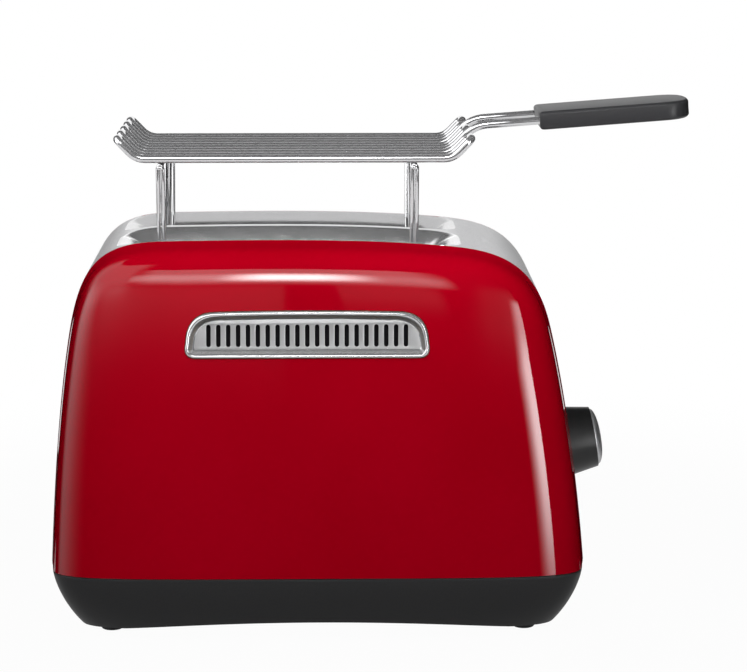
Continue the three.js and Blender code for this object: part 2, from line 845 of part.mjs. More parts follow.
// The sliding carriage on its rod, with a tongue for the lever and a wing for spring and magnet
function carriage() {
  const barHalf = slotMiddle + restSlotHalf;
  const barX = rightPlateX + carriageGap;
  const bodies = [
    block([barX, -barHalf, carriageBottom], [barX + carriageThick, barHalf, restTop]),
    rod([rodX, 0, carriageBottom], [rodX, 0, carriageBottom + sleeveHeight], sleeveRadius),
    block([barX, -wingHalf, carriageBottom], [rodX, wingHalf, restTop]),
    block([rodX - wingHalf, -wingReach, restTop - wingThick], [rodX + wingHalf, wingReach, restTop]),
    block([rodX, -tongueHalfWidth + slack, carriageBottom], [tongueX, tongueHalfWidth - slack, restTop]),
    block([tongueX - carriageThick / 2, -tongueHalfWidth, carriageBottom],
      [tongueX + carriageThick, tongueHalfWidth, tongueTop]),
  ].map(solid);
  const bore = rod([rodX, 0, carriageBottom - overrun], [rodX, 0, carriageBottom + sleeveHeight + overrun],
    rodRadius + seam);
  piece("carriage", cut(join(bodies), [solid(bore)]), "zinc");
}

// The rod that guides the carriage, and the spring that lifts it
function lift() {
  piece("guide_rod", rod([rodX, 0, flangeLow + plateThick + seam], [rodX, 0, flangeHigh - seam], rodRadius),
    "zinc");
  const springY = wingReach - wingHalf;
  piece("lift_spring", rod([rodX, springY, restTop + seam], [rodX, springY, flangeHigh - seam], springRadius),
    "zinc");
  const magnetTop = restTop - wingThick - liftTravel - slack;
  piece("hold_magnet", block(
    [rodX - magnetHalf, -springY - magnetHalf, flangeLow + plateThick + seam],
    [rodX + magnetHalf, -springY + magnetHalf, magnetTop]), "copper");
}

// Two bread rests: a bar through both end plates with short tines across it
function breadRests() {
  for (const [name, side] of [["bread_rest_front", -1], ["bread_rest_rear", 1]]) {
    const y = side * slotMiddle;
    const left = leftPlateX - restPast;
    const right = rightPlateX + carriageGap - seam;
    const bodies = [block([left, y - restThick / 2, carriageBottom], [right, y + restThick / 2, restTop])];
    for (let i = 0; i < restTineCount; i += 1) {
      const x = slotLeft + ((slotRight - slotLeft) * (i + 1 / 2)) / restTineCount;
      bodies.push(block([x - restTineThick / 2, y - restTineHalf, restTop - restTineThick],
        [x + restTineThick / 2, y + restTineHalf, restTop]));
    }
    piece(name, join(bodies.map(solid)), "zinc");
  }
}

// The sunk channel that the lever runs in, flush with the band
function leverChannel() {
  const form = bandForm(0, channelHalfWidth, 0);
  const shaped = form.intersect(solid(block(
    [channelBack, -channelHalfWidth, channelLow], [bodyHalfLength, channelHalfWidth, channelHigh])));
  const inside = channelHalfWidth - channelWall;
  const floor = channelBack + channelWall;
  piece("lever_channel", cut(shaped, [
    solid(block([floor, -inside, channelLow + channelWall],
      [bodyHalfLength + overrun, inside, channelHigh - channelWall])),
    solid(block([channelBack - overrun, -leverNeckHalf - slack, channelLow + channelWall],
      [floor + overrun, leverNeckHalf + slack, channelHigh - channelWall])),
  ]), "moulded");
}

// The thumb tab, with its neck through the channel to the carriage
function liftLever() {
  const low = leverTop - leverHeight;
  const middle = (leverTop + low) / 2;
  const shape = new THREE.Shape();
  shape.moveTo(leverBack, low);
  shape.lineTo(leverOut - leverLip, low + leverLip / 2);
  shape.quadraticCurveTo(leverOut, low + leverLip / 2, leverOut, low + 2 * leverLip);
  shape.quadraticCurveTo(leverOut - leverLean, leverTop, leverOut - 2 * leverLip, leverTop);
  shape.lineTo(leverBack, leverTop);
  shape.closePath();
  const tab = upright(shape, -leverHalfWidth, leverHalfWidth, TIGHT);
  const neck = block([tongueX + carriageThick + seam, -leverNeckHalf, middle - leverNeckHeight / 2],
    [leverBack + leverLip, leverNeckHalf, middle + leverNeckHeight / 2]);
  piece("lift_lever", join([solid(tab), solid(neck)]), "moulded");
}

// The browning dial: a hollow tapered knob, its metal cap, its shaft and the timer behind
function dial() {
  const back = dialGap;
  const rim = dialGap + dialDepth;
  const seat = rim - dialCapSink;
  const hubDeep = seat - dialWall;
  const bore = shaftRadius + seam;
  const knob = turned([
    [bore, back + dialWall], [hubRadius, back + dialWall], [hubRadius, hubDeep],
    [dialRimRadius - dialWall, hubDeep], [dialBackRadius - dialWall, back], [dialBackRadius, back],
    [dialRimRadius, rim], [dialCapRadius + seam, rim], [dialCapRadius + seam, seat], [0, seat],
    [0, hubDeep - seam], [bore, hubDeep - seam], [bore, back + dialWall],
  ]);
  piece("browning_knob", onPanel(knob), "moulded");
  const cap = [[0, seat + seam], [dialCapRadius, seat + seam], [dialCapRadius, rim + seam]];
  for (let i = 1; i <= BROAD; i += 1) {
    const angle = (Math.PI / 2) * (i / BROAD);
    const radius = (dialCapRadius - seam) * Math.cos(angle);
    cap.push([i === BROAD ? 0 : radius, rim + seam + (dialCapRise - seam) * Math.sin(angle)]);
  }
  piece("knob_cap", onPanel(turned(cap)), "satin");
  const timerFront = -boardSet - boardThick - seam;
  piece("knob_shaft", panelRod(0, 0, timerFront - timerBore + seam, hubDeep - slack, shaftRadius), "zinc");
  const timer = solid(onPanel(block(
    [timerFront - timerDepth, -timerHalf, -timerHalf], [timerFront, timerHalf, timerHalf])));
  const socket = solid(panelRod(0, 0, timerFront - timerBore, timerFront + overrun, bore));
  piece("timer_control", cut(timer, [socket]), "moulded");
}

// Four push buttons, the carrier that guides their stems and the board behind them
function buttons() {
  const carrierFace = -carrierSet + carrierPlate / 2;
  for (const [name, y, up] of buttonPlaces) {
    const profile = [
      [0, -boardSet + buttonTravel + slack], [buttonStemRadius, -boardSet + buttonTravel + slack],
      [buttonStemRadius, -buttonFlangeSet - buttonFlangeThick],
      [buttonFlange, -buttonFlangeSet - buttonFlangeThick], [buttonFlange, -buttonFlangeSet],
      [buttonRadius, -buttonFlangeSet], [buttonRadius, buttonProud - buttonEdge],
      [buttonRadius - buttonEdge, buttonProud - buttonCrown], [0, buttonProud],
    ];
    const geometry = turned(profile, ROUND);
    geometry.translate(0, y, up);
    piece(name, onPanel(geometry), "moulded");
  }
  const plate = solid(onPanel(block([carrierFace - carrierPlate, -carrierHalfWidth, -carrierLow],
    [carrierFace, carrierHalfWidth, carrierHigh])));
  const posts = corners.map(([y, up]) => solid(panelRod(y * (carrierHalfWidth - carrierPost),
    up > 0 ? carrierHigh - carrierPost : carrierPost - carrierLow, -boardSet + seam, -bandWall - carrierClear,
    carrierPost, FINE)));
  const holes = buttonPlaces.map(([, y, up]) =>
    solid(panelRod(y, up, -boardSet, 0, buttonStemRadius + seam, FINE)));
  const pass = solid(panelRod(0, 0, -boardSet - overrun, 0, shaftRadius + slack));
  piece("button_carrier", cut(join([plate, ...posts]), [...holes, pass]), "moulded");
  const board = solid(onPanel(block([-boardSet - boardThick, -carrierHalfWidth, -carrierLow],
    [-boardSet, carrierHalfWidth, carrierHigh])));
  piece("control_board", cut(board, [pass]), "circuit");
}

// The crumb tray: a shallow pan, and the front that fills the opening in the base
function crumbTray() {
  const outer = block([trayFrontX + seam, -trayHalfWidth, trayLow], [trayRight, trayHalfWidth, trayHigh]);
  const inner = block([trayFrontX + seam + trayWall, -trayHalfWidth + trayWall, trayLow + trayWall],
    [trayRight - trayWall, trayHalfWidth - trayWall, trayHigh + overrun]);
  piece("crumb_tray", cut(solid(outer), [solid(inner)]), "zinc");
  const front = block([-trayFront, -trayHalfWidth - trayFrontGrow, trayLow - seam],
    [trayFrontX, trayHalfWidth + trayFrontGrow, trayHigh + trayWall - seam]);
  piece("crumb_tray_front", baseForm(0, 0, baseBottom).intersect(solid(front)), "moulded");
}

// The bushing that the cord would come in through
function cordInlet() {
  const wall = bandHalfWidth + shellDepth - baseWall;
  const profile = [
    [inletBore, 0], [inletNeck, 0], [inletNeck, inletInside], [inletFlange, inletInside],
    [inletFlange, inletInside + inletFlangeThick], [inletNeck, inletInside + inletFlangeThick],
    [inletNeck, inletLength], [inletBore, inletLength], [inletBore, 0],
  ];
  const geometry = turned(profile, ROUND);
  geometry.rotateZ(Math.PI / 2);
  geometry.translate(inletX, wall - inletLength + baseWall / 2, inletHeight);
  piece("cord_inlet", geometry, "rubber");
}

// The rack's ten wires lie half a pitch off its middle and on: number 0 is the first behind it
const wireAt = (number) => (number + 1 / 2) * wirePitch;

// Points round the bent-up end of a pair, from one wire across to the other, with two round corners
function pairEnd(cornerX, direction, fromY, toY) {
  const slope = Math.hypot(tipRun, tipRise);
  const across = Math.sign(toY - fromY);
  const points = [];
  for (const [y, out] of [[fromY, across], [toY, -across]]) {
    for (let i = 0; i <= TIGHT; i += 1) {
      const angle = (Math.PI / 2) * (out === across ? i / TIGHT : 1 - i / TIGHT);
      const along = slope - tipCorner * (1 - Math.sin(angle));
      points.push([cornerX + (direction * along * tipRun) / slope,
        y + out * tipCorner * (1 - Math.cos(angle)), rackHeight + (along * tipRise) / slope]);
    }
  }
  return points;
}

// A bend between three points, as chords
function bend(before, corner, after, radius) {
  const middle = new THREE.Vector3(...corner);
  const start = new THREE.Vector3(...before).sub(middle).setLength(radius).add(middle);
  const end = new THREE.Vector3(...after).sub(middle).setLength(radius).add(middle);
  const curve = new THREE.QuadraticBezierCurve3(start, middle, end);
  return curve.getPoints(TIGHT).map((point) => point.toArray());
}

// Half of a closed pair: along one wire, round the bent-up end and back along the other
function pairHalf(middleX, cornerX, direction, nearY, farY) {
  const end = pairEnd(cornerX, direction, nearY, farY);
  const near = [middleX, nearY, rackHeight];
  const far = [middleX, farY, rackHeight];
  return [
    near,
    ...bend(near, [cornerX, nearY, rackHeight], end[0], rackBend),
    ...end,
    ...bend(end[end.length - 1], [cornerX, farY, rackHeight], far, rackBend),
    far,
  ];
}

// Three closed pairs of rack wires
function rackPairs() {
  const places = [["rack_pair_front", -5], ["rack_pair_middle", -1], ["rack_pair_rear", 3]];
  const middle = (rackLeft + rackRight) / 2;
  for (const [name, number] of places) {
    const near = wireAt(number);
    const far = wireAt(number + 1);
    piece(name, join([
      solid(wire(pairHalf(middle + wireRadius, rackLeft, -1, near, far), wireRadius)),
      solid(wire(pairHalf(middle - wireRadius, rackRight, 1, near, far), wireRadius)),
    ]), "chrome");
  }
}

// Height of the handle wires, and of the grip's middle plane, at a place along X
const handleAt = (x) => gripAxisHeight + gripRiseShare * (x - gripLeft);

// Two long wires that turn back at the left end and run on into the grip
function handleWires() {
  const rise = tipRise / tipRun;
  const meetX = (handleAt(0) - rackHeight + rise * rackRight) / (rise - gripRiseShare);
  for (const [name, first, second] of [["rack_handle_wire_front", -3, -2], ["rack_handle_wire_rear", 2, 1]]) {
    const outer = wireAt(first);
    const inner = wireAt(second);
    const tip = [rackRight + tipRun, outer, rackHeight + tipRise];
    const turn = pairEnd(rackLeft, -1, outer, inner);
    const flatOuter = [rackRight, outer, rackHeight];
    const flatInner = [rackRight, inner, rackHeight];
    const leftOuter = [rackLeft, outer, rackHeight];
    const leftInner = [rackLeft, inner, rackHeight];
    const meet = [meetX, inner, handleAt(meetX)];
    const end = [gripLeft + gripWireDepth, inner, handleAt(gripLeft + gripWireDepth)];
    piece(name, wire([
      tip,
      ...bend(tip, flatOuter, leftOuter, rackBend),
      ...bend(flatOuter, leftOuter, turn[0], rackBend),
      ...turn,
      ...bend(turn[turn.length - 1], leftInner, flatInner, rackBend),
      ...bend(leftInner, flatInner, meet, rackBend),
      ...bend(flatInner, meet, end, handleBend),
      end,
    ], wireRadius), "chrome");
  }
}

// The two supports: a cross bar, a hairpin leg with a shoulder at each end, and a W brace
function rackSupports() {
  const barZ = rackHeight - wireRadius - seam - crossBar;
  const topZ = barZ - legSpread / 2;
  for (const [name, x] of [["rack_support_left", legLeftX], ["rack_support_right", legRightX]]) {
    const crest = topAt(x);
    const bodies = [rod([x, -legOuterY - crossBar, barZ], [x, legOuterY + crossBar, barZ], crossBar, FINE)];
    for (const side of [-1, 1]) {
      const down = [
        [legOuterY, crest + shoulderAbove],
        [shoulderY, crest - shoulderBelow],
        [legFootY, crest - legFootBelow],
        [legFootY, crest - legEndBelow],
      ];
      const leg = (offset) => down.map(([y, z]) => [x + offset, side * y, z]);
      const over = [];
      for (let i = 0; i <= TIGHT; i += 1) {
        const angle = (Math.PI * i) / TIGHT;
        over.push([x - (legSpread / 2) * Math.cos(angle), side * legOuterY,
          topZ + (legSpread / 2) * Math.sin(angle)]);
      }
      bodies.push(wire([...leg(-legSpread / 2).reverse(), ...over, ...leg(legSpread / 2)], legWire, BROAD));
    }
    bodies.push(wire([
      [x, -braceTopY, barZ], [x, -braceFootY, crest - braceFootBelow], [x, 0, barZ],
      [x, braceFootY, crest - braceFootBelow], [x, braceTopY, barZ],
    ], legWire, BROAD));
    piece(name, join(bodies.map(solid)), "chrome");
  }
}

// The grip: a flat tongue with soft edges, bored for the two handle wires
function rackGrip() {
  const shape = new THREE.Shape();
  const half = gripHalfWidth - gripEdge;
  const right = gripLength - gripEdge;
  shape.moveTo(gripEdge, -half);
  shape.lineTo(right - gripEndHalf, -half);
  shape.bezierCurveTo(right - gripEdge, -half, right, -half / 2, right, 0);
  shape.bezierCurveTo(right, half / 2, right - gripEdge, half, right - gripEndHalf, half);
  shape.lineTo(gripEdge, half);
  shape.closePath();
  const slab = new THREE.ExtrudeGeometry(shape, {
    depth: gripThick - 2 * gripEdge,
    bevelThickness: gripEdge,
    bevelSize: gripEdge,
    bevelSegments: TIGHT,
    curveSegments: BROAD,
  });
  slab.translate(0, 0, gripEdge - gripThick / 2);
  slab.rotateY(-Math.atan(gripRiseShare));
  slab.translate(gripLeft, 0, gripAxisHeight);
  const bores = [-2, 1].map((number) => {
    const y = wireAt(number);
    const deep = gripLeft + gripWireDepth + slack;
    return solid(rod([gripLeft - overrun, y, handleAt(gripLeft - overrun)], [deep, y, handleAt(deep)],
      wireRadius + seam));
  });
  piece("rack_grip", cut(solid(slab), bores), "grip");
}

shell("front_shell", -1);
shell("rear_shell", 1);
vent("front_vent", -1);
vent("rear_vent", 1);
topBand();
base();
feet();
screws();
rails();
endPlates();
heaters();
guides();
carriage();
lift();
breadRests();
leverChannel();
liftLever();
dial();
buttons();
crumbTray();
cordInlet();
rackPairs();
handleWires();
rackSupports();
rackGrip();

toaster.position.x = (bodyHalfLength - gripRight) / 2;

export default toaster;
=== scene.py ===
import json
import math

import bmesh
import bpy
import numpy as np
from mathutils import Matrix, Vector

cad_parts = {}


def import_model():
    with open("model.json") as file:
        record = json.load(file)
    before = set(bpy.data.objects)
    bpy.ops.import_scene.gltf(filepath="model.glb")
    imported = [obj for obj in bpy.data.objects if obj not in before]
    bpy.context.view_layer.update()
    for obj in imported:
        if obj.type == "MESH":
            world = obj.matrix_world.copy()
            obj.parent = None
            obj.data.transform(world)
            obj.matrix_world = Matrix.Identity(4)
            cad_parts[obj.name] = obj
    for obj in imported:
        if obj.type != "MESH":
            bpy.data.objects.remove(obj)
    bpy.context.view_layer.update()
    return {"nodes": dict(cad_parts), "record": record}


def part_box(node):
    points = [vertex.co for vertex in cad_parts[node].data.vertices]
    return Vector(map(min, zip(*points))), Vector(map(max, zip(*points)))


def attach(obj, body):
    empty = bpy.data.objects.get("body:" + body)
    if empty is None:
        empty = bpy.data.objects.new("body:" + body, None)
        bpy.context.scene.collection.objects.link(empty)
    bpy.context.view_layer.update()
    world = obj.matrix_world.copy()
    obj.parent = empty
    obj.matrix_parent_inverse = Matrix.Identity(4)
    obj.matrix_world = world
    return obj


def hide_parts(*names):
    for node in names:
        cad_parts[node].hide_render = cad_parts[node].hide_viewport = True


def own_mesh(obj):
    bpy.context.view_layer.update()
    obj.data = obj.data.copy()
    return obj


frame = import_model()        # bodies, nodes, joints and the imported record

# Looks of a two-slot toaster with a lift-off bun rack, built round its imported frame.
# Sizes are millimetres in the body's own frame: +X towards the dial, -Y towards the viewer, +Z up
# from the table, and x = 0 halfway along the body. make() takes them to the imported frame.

MM = 0.001


def node_box(node):
    """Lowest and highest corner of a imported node, in millimetres."""
    low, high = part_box(node)
    return np.array(low) / MM, np.array(high) / MM


def body_box(node):
    """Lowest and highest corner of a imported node, in the body's own frame."""
    low, high = node_box(node)
    return low - (MIDDLE_X, 0, 0), high - (MIDDLE_X, 0, 0)


def starting(start):
    """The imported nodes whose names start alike."""
    return [node for node in frame["nodes"] if node.startswith(start)]


band_low, band_high = node_box("top_band")
MIDDLE_X = (band_low[0] + band_high[0]) / 2

# Body
HALF_LENGTH = (band_high[0] - band_low[0]) / 2
BODY_TOP = 198.0
BORDER = band_low[2]
SEAM = 0.3
BAND_HALF = band_high[1] + SEAM
SHELL_DEPTH = node_box("base_housing")[1][1] - BAND_HALF
SHELL_LEAN = 4.0
SHEET = 1.2
BULGE_POWER = 5.0
BULGE_FALL = 0.048
BORDER_ROLL = 0.45
BODY_MIDDLE = (MIDDLE_X, 0, 110)

# Base
BASE_BOTTOM = 5.5
BASE_WALL = 2.5
TUCK_X = 25.0
TUCK_Y = 23.0
TUCK_RISE = 38.0
TUCK_POWER = 1.45
ARCH_RISE = 4.0
ARCH_HALF = 96.0

# Bread slots
SLOT_LEFT = -86.0
SLOT_RIGHT = 58.0
SLOT_INNER = 11.0
SLOT_OUTER = 38.0
SLOT_CORNER = 6.0
DISH_OUTER = 16.6
DISH_INNER = 8.0
DISH_END = 14.0
DISH_DROP = 10.0
DISH_POWER = 1.7
COLLAR_DROP = 15.0

# Vents
VENT_X = -4.75
VENT_LOW = 144.2
VENT_HIGH = 167.2
VENT_HALF_BOTTOM = 59.45
VENT_HALF_TOP = 44.05
VENT_ARCH = 0.6
VENT_CORNER_RISE = 15.5
VENT_SIDE_LEAN = 0.4
VENT_LOW_CORNER = 5.2
VENT_DEEP = 3.4
VENT_RIM = 4.1
VENT_PITCH = 4.81
VENT_SLOT_WIDTH = 2.2
VENT_SLOT_LENGTH = 11.0
VENT_SLOTS = 21
VENT_SLOT_MIDDLE = 154.9
VENT_TILT = math.radians(5.7)

# Controls on the +X end
CONTROL_Z = 83.2
CONTROL_TILT = math.radians(9.4)
DIAL_BACK = 18.1
DIAL_RIM = 15.6
DIAL_DEPTH = 14.6
DIAL_GAP = 0.8
DIAL_CAP = 14.6
DIAL_CAP_RISE = 3.8
BUTTON_Y = 33.0
BUTTON_UP = 10.0
BUTTON_RADIUS = 5.0
BUTTON_PROUD = 0.6
SHAFT_BORE = 3.6

# Bun rack
WIRE = 2.0
PITCH = 11.5
RACK_Z = 237.5
RACK_LEFT = -89.0
RACK_RIGHT = 67.3
TIP_RUN = 9.2
TIP_RISE = 9.5
TIP_CORNER = 3.2
RACK_BEND = 6.0
LEG_X = (-77.3, 48.5)
LEG_WIRE = 0.95
LEG_SPREAD = 2.5
LEG_Y = 49.0
LEG_FOOT_Y = 36.4
CROSS_BAR = 1.5
BRACE_TOP_Y = 46.0
BRACE_FOOT_Y = 20.0
GRIP_LEFT = 112.5
GRIP_RIGHT = 190.0
GRIP_HALF = 21.5
GRIP_THICK = 9.3
GRIP_Z = 252.75
GRIP_SLOPE = 0.075
GRIP_WIRE_DEPTH = 40.0

# Shares of the body's half length and of its rise over the border: five cubic curves from the left
# foot of its ends over the top to the right foot
OUTLINE_SHARES = [
    [[-1, 0], [-0.985, 0.266], [-0.959, 0.523], [-0.918, 0.7187]],
    [[-0.918, 0.7187], [-0.872, 0.939], [-0.787, 0.9914], [-0.56, 0.994]],
    [[-0.56, 0.994], [-0.2985, 0.997], [0.149, 1.004], [0.4925, 0.9768]],
    [[0.4925, 0.9768], [0.6866, 0.962], [0.8104, 0.9186], [0.865, 0.735]],
    [[0.865, 0.735], [0.914, 0.572], [0.973, 0.275], [1, 0]],
]

SLOT_OF = {part["node"]: part["material_slot"] for part in frame["record"]["subparts"]}
BODY_OF = {node: body
           for body, nodes in frame["record"]["behaviour"]["bodies"].items() for node in nodes}


# Finishes

def colour(code):
    """An sRGB hex colour as linear RGBA."""
    parts = [int(code[i:i + 2], 16) / 255 for i in (0, 2, 4)]
    linear = [c / 12.92 if c <= 0.04045 else ((c + 0.055) / 1.055) ** 2.4 for c in parts]
    return (*linear, 1.0)


def add(tree, kind, links=None, **settings):
    """Adds a node: settings are its properties or its inputs' values, links are what feeds them."""
    node = tree.nodes.new(kind)
    for key, value in settings.items():
        if hasattr(node, key):
            setattr(node, key, value)
        else:
            node.inputs[key.replace("_", " ")].default_value = value
    for key, source in (links or {}).items():
        tree.links.new(source, node.inputs[key])
    return node


def blank(owner):
    """The emptied node tree of a new material or world."""
    owner.use_nodes = True
    owner.node_tree.nodes.clear()
    return owner.node_tree


def finish(name, base, metallic=0.0, roughness=0.4, **settings):
    """A new material with one surface shader, whose constants sit on its own sockets."""
    material = bpy.data.materials.new(name)
    tree = blank(material)
    surface = add(tree, "ShaderNodeBsdfPrincipled", Base_Color=colour(base), Metallic=metallic,
                  Roughness=roughness, **settings)
    add(tree, "ShaderNodeOutputMaterial", {0: surface.outputs[0]})
    material.diffuse_color = colour(base)
    return material, tree, surface


def cells(tree, size, kind="ShaderNodeTexNoise", stretch=(1, 1, 1), output=0, **settings):
    """A pattern in object space whose features are about size millimetres across."""
    place = add(tree, "ShaderNodeTexCoord")
    scaled = add(tree, "ShaderNodeMapping", {"Vector": place.outputs["Object"]},
                 Scale=tuple(s / (size * MM) for s in stretch))
    return add(tree, kind, {"Vector": scaled.outputs[0]}, Scale=1.0, **settings).outputs[output]


def ramp(tree, source, low, high, to_low, to_high):
    """Takes one range of values to another."""
    return add(tree, "ShaderNodeMapRange", {"Value": source}, From_Min=low, From_Max=high,
               To_Min=to_low, To_Max=to_high).outputs[0]


def relief(tree, surface, height, depth, strength, socket="Normal"):
    """A bump of depth millimetres on a surface."""
    bump = add(tree, "ShaderNodeBump", {"Height": height}, Distance=depth * MM, Strength=strength)
    tree.links.new(bump.outputs[0], surface.inputs[socket])


def tint(tree, surface, source, low, high):
    """A colour that varies between two hex values with a pattern."""
    mix = add(tree, "ShaderNodeMix", {"Factor": source}, data_type="RGBA")
    for socket, code in ((mix.inputs[6], low), (mix.inputs[7], high)):
        socket.default_value = colour(code)
    tree.links.new(mix.outputs[2], surface.inputs["Base Color"])


def worked(tree, surface, pattern, span=(0.3, 0.7), tints=None, roughness=None, depth=0, strength=0.4):
    """What its making leaves on a surface: over this span of its values, a pattern takes the colour
    from one tint to the other and the roughness from one value to the other, and it stands out by
    depth millimetres."""
    if tints:
        tint(tree, surface, ramp(tree, pattern, *span, 0, 1), *tints)
    if roughness:
        tree.links.new(ramp(tree, pattern, *span, *roughness), surface.inputs["Roughness"])
    if depth:
        relief(tree, surface, pattern, depth, strength)


def fired_enamel():
    """Sprayed and fired red enamel on pressed steel: a deep colour under a hard clear gloss, with
    the faint orange peel of the spray in its reflections."""
    material, tree, surface = finish("fired_red_enamel", "a80017", roughness=0.4, Coat_Weight=0.8,
                                     Coat_Roughness=0.03, Coat_IOR=1.5, Specular_IOR_Level=0.0)
    worked(tree, surface, cells(tree, 60.0, Detail=1.0), tints=("a50016", "ab0019"))
    relief(tree, surface, cells(tree, 1.6, Detail=1.0, Roughness=0.4), 0.002, 0.6, "Coat Normal")
    return material


def satin_steel():
    """Stainless steel sheet, satin ground along its length: soft reflections drawn out across the
    grain and fine parallel lines."""
    material, tree, surface = finish("satin_ground_stainless", "d2d2d4", 0.85, 0.3)
    grain = cells(tree, 0.5, stretch=(0.02, 1, 1), Detail=3.0, Roughness=0.6)
    worked(tree, surface, grain, roughness=(0.25, 0.36), depth=0.006, strength=0.5)
    return material


def bright_steel():
    """Pressed and polished stainless: near mirror, with a soft haze left by the polishing mop."""
    material, tree, surface = finish("mop_polished_stainless", "dededf", 0.75, 0.16)
    worked(tree, surface, cells(tree, 9.0, Detail=2.0), roughness=(0.13, 0.2))
    return material


def vent_plate_steel():
    """The vent's plate, satin rolled stainless: it greys the reflections that the rim keeps sharp."""
    material, tree, surface = finish("satin_rolled_stainless", "cfcfd0", 0.82, 0.38)
    grain = cells(tree, 0.4, stretch=(0.03, 1, 1), Detail=2.0)
    worked(tree, surface, grain, roughness=(0.35, 0.41), depth=0.004)
    return material


def bright_chrome():
    """Chrome plate on drawn wire: a mirror that is barely dulled by drawing marks along the wire."""
    material, tree, surface = finish("chrome_plated_wire", "e4e4e6", 0.8, 0.06)
    worked(tree, surface, cells(tree, 1.2, Detail=2.0), roughness=(0.04, 0.07), depth=0.004)
    return material


def moulded_abs(name, dark, light, roughness, gloss):
    """Injection moulded ABS from a spark-eroded tool: dark grey, with a fine matte grain that
    spreads the highlights."""
    material, tree, surface = finish(name, dark, 0.0, roughness, Specular_IOR_Level=gloss)
    grain = cells(tree, 0.35, Detail=2.0, Roughness=0.6)
    worked(tree, surface, grain, (0.35, 0.65), tints=(dark, light))
    worked(tree, surface, grain, roughness=(roughness - 0.04, roughness + 0.06), depth=0.012, strength=0.5)
    return material


def foot_rubber():
    """Moulded rubber: nearly black, dull, with a slight bloom."""
    material, tree, surface = finish("moulded_black_rubber", "1b1b1c", 0.0, 0.78)
    worked(tree, surface, cells(tree, 2.5, Detail=3.0), (0.35, 0.65), tints=("18181a", "232325"))
    return material


def zinc_steel():
    """Cold rolled steel with bright zinc plating: bluish grey, cloudy, softly shiny."""
    material, tree, surface = finish("zinc_plated_steel", "a4a9af", 1.0, 0.38)
    worked(tree, surface, cells(tree, 6.0, Detail=3.0), tints=("969ca4", "b0b4b8"), roughness=(0.3, 0.46))
    return material


def mica_board():
    """Pressed mica flakes: tan, with small glinting scales."""
    material, tree, surface = finish("pressed_mica_board", "b79f74", 0.0, 0.5)
    flakes = cells(tree, 2.2, "ShaderNodeTexVoronoi")
    worked(tree, surface, flakes, (0, 1), tints=("cbb58a", "9c835a"), roughness=(0.3, 0.7))
    return material


def heating_ribbon():
    """Rolled nickel chrome ribbon that has been hot: brownish grey oxide."""
    material, tree, surface = finish("oxidised_nichrome_ribbon", "6a5e56", 0.8, 0.5)
    worked(tree, surface, cells(tree, 4.0, Detail=2.0), tints=("5a4f49", "7c7168"))
    return material


def board_laminate():
    """Glass epoxy circuit board with a green solder mask: smooth, with slightly raised tracks."""
    material, tree, surface = finish("green_epoxy_laminate", "23512c", 0.0, 0.35)
    tint(tree, surface, cells(tree, 3.0, "ShaderNodeTexBrick", output="Fac"), "1f4a28", "3a6e42")
    return material


def wound_copper():
    """Enamelled copper wire wound side by side: brown gloss with one fine ridge for each turn."""
    material, tree, surface = finish("enamelled_copper_winding", "8a4a28", 0.6, 0.32)
    turns = cells(tree, 0.8, "ShaderNodeTexWave", stretch=(0, 0, 0.2), bands_direction="Z")
    relief(tree, surface, turns, 0.1, 0.8)
    return material


def turned_aluminium():
    """Aluminium disc, spun and satin finished: a fine grain and a soft broad highlight."""
    material, tree, surface = finish("spun_satin_aluminium", "bcbcbe", 0.75, 0.42)
    worked(tree, surface, cells(tree, 0.5, Detail=3.0), roughness=(0.4, 0.46), depth=0.004)
    return material


def ground_coat_and_shade():
    """Dark ground coat on an enamelled sheet's unglazed inside, dull, slightly mottled; also the vents'
    painted shade.
    """
    material, tree, surface = finish("dark_ground_coat_and_painted_shade", "1a181b", 0.0, 0.8, Specular_IOR_Level=0.1)
    worked(tree, surface, cells(tree, 5.0, Detail=2.0), tints=("161417", "201d21"))
    return material


ENAMEL = fired_enamel()
SATIN = satin_steel()
BRIGHT = bright_steel()
PLATE = vent_plate_steel()
CHROME = bright_chrome()
ABS = moulded_abs("textured_moulded_abs", "29292a", "313132", 0.46, 0.15)
GRIP = moulded_abs("satin_moulded_grip", "343436", "3b3b3d", 0.36, 0.3)
KNOB = moulded_abs("smooth_moulded_knob", "1d1d1e", "232323", 0.36, 0.35)
RUBBER = foot_rubber()
ZINC = zinc_steel()
MICA = mica_board()
RIBBON = heating_ribbon()
LAMINATE = board_laminate()
COPPER = wound_copper()
ALUMINIUM = turned_aluminium()
GROUND_COAT_AND_SHADE = ground_coat_and_shade()

NODE_FINISHES = {
    "enamel": ENAMEL, "satin_steel": SATIN, "polished_steel": BRIGHT, "chromed_wire": CHROME,
    "moulded_plastic": ABS, "grip_plastic": GRIP, "rubber": RUBBER, "zinc_plated_steel": ZINC,
    "mica": MICA, "circuit_board": LAMINATE, "copper": COPPER,
}


# Curves and outlines

def run_of(points):
    """How far along a polyline each of its points lies."""
    return np.concatenate([[0], np.cumsum(np.linalg.norm(np.diff(points, axis=0), axis=1))])


def evenly(points, count):
    """A polyline's points, respaced evenly along its length."""
    points = np.asarray(points, float)
    run = run_of(points)
    places = np.linspace(0, run[-1], count)
    return np.stack([np.interp(places, run, column) for column in points.T], axis=1)


def bezier(controls, shares):
    """The Bezier curve of some control points, at shares of its run."""
    order = len(controls) - 1
    t = np.asarray(shares)[:, None]
    return sum(math.comb(order, k) * (1 - t) ** (order - k) * t ** k * np.asarray(point, float)
               for k, point in enumerate(controls))


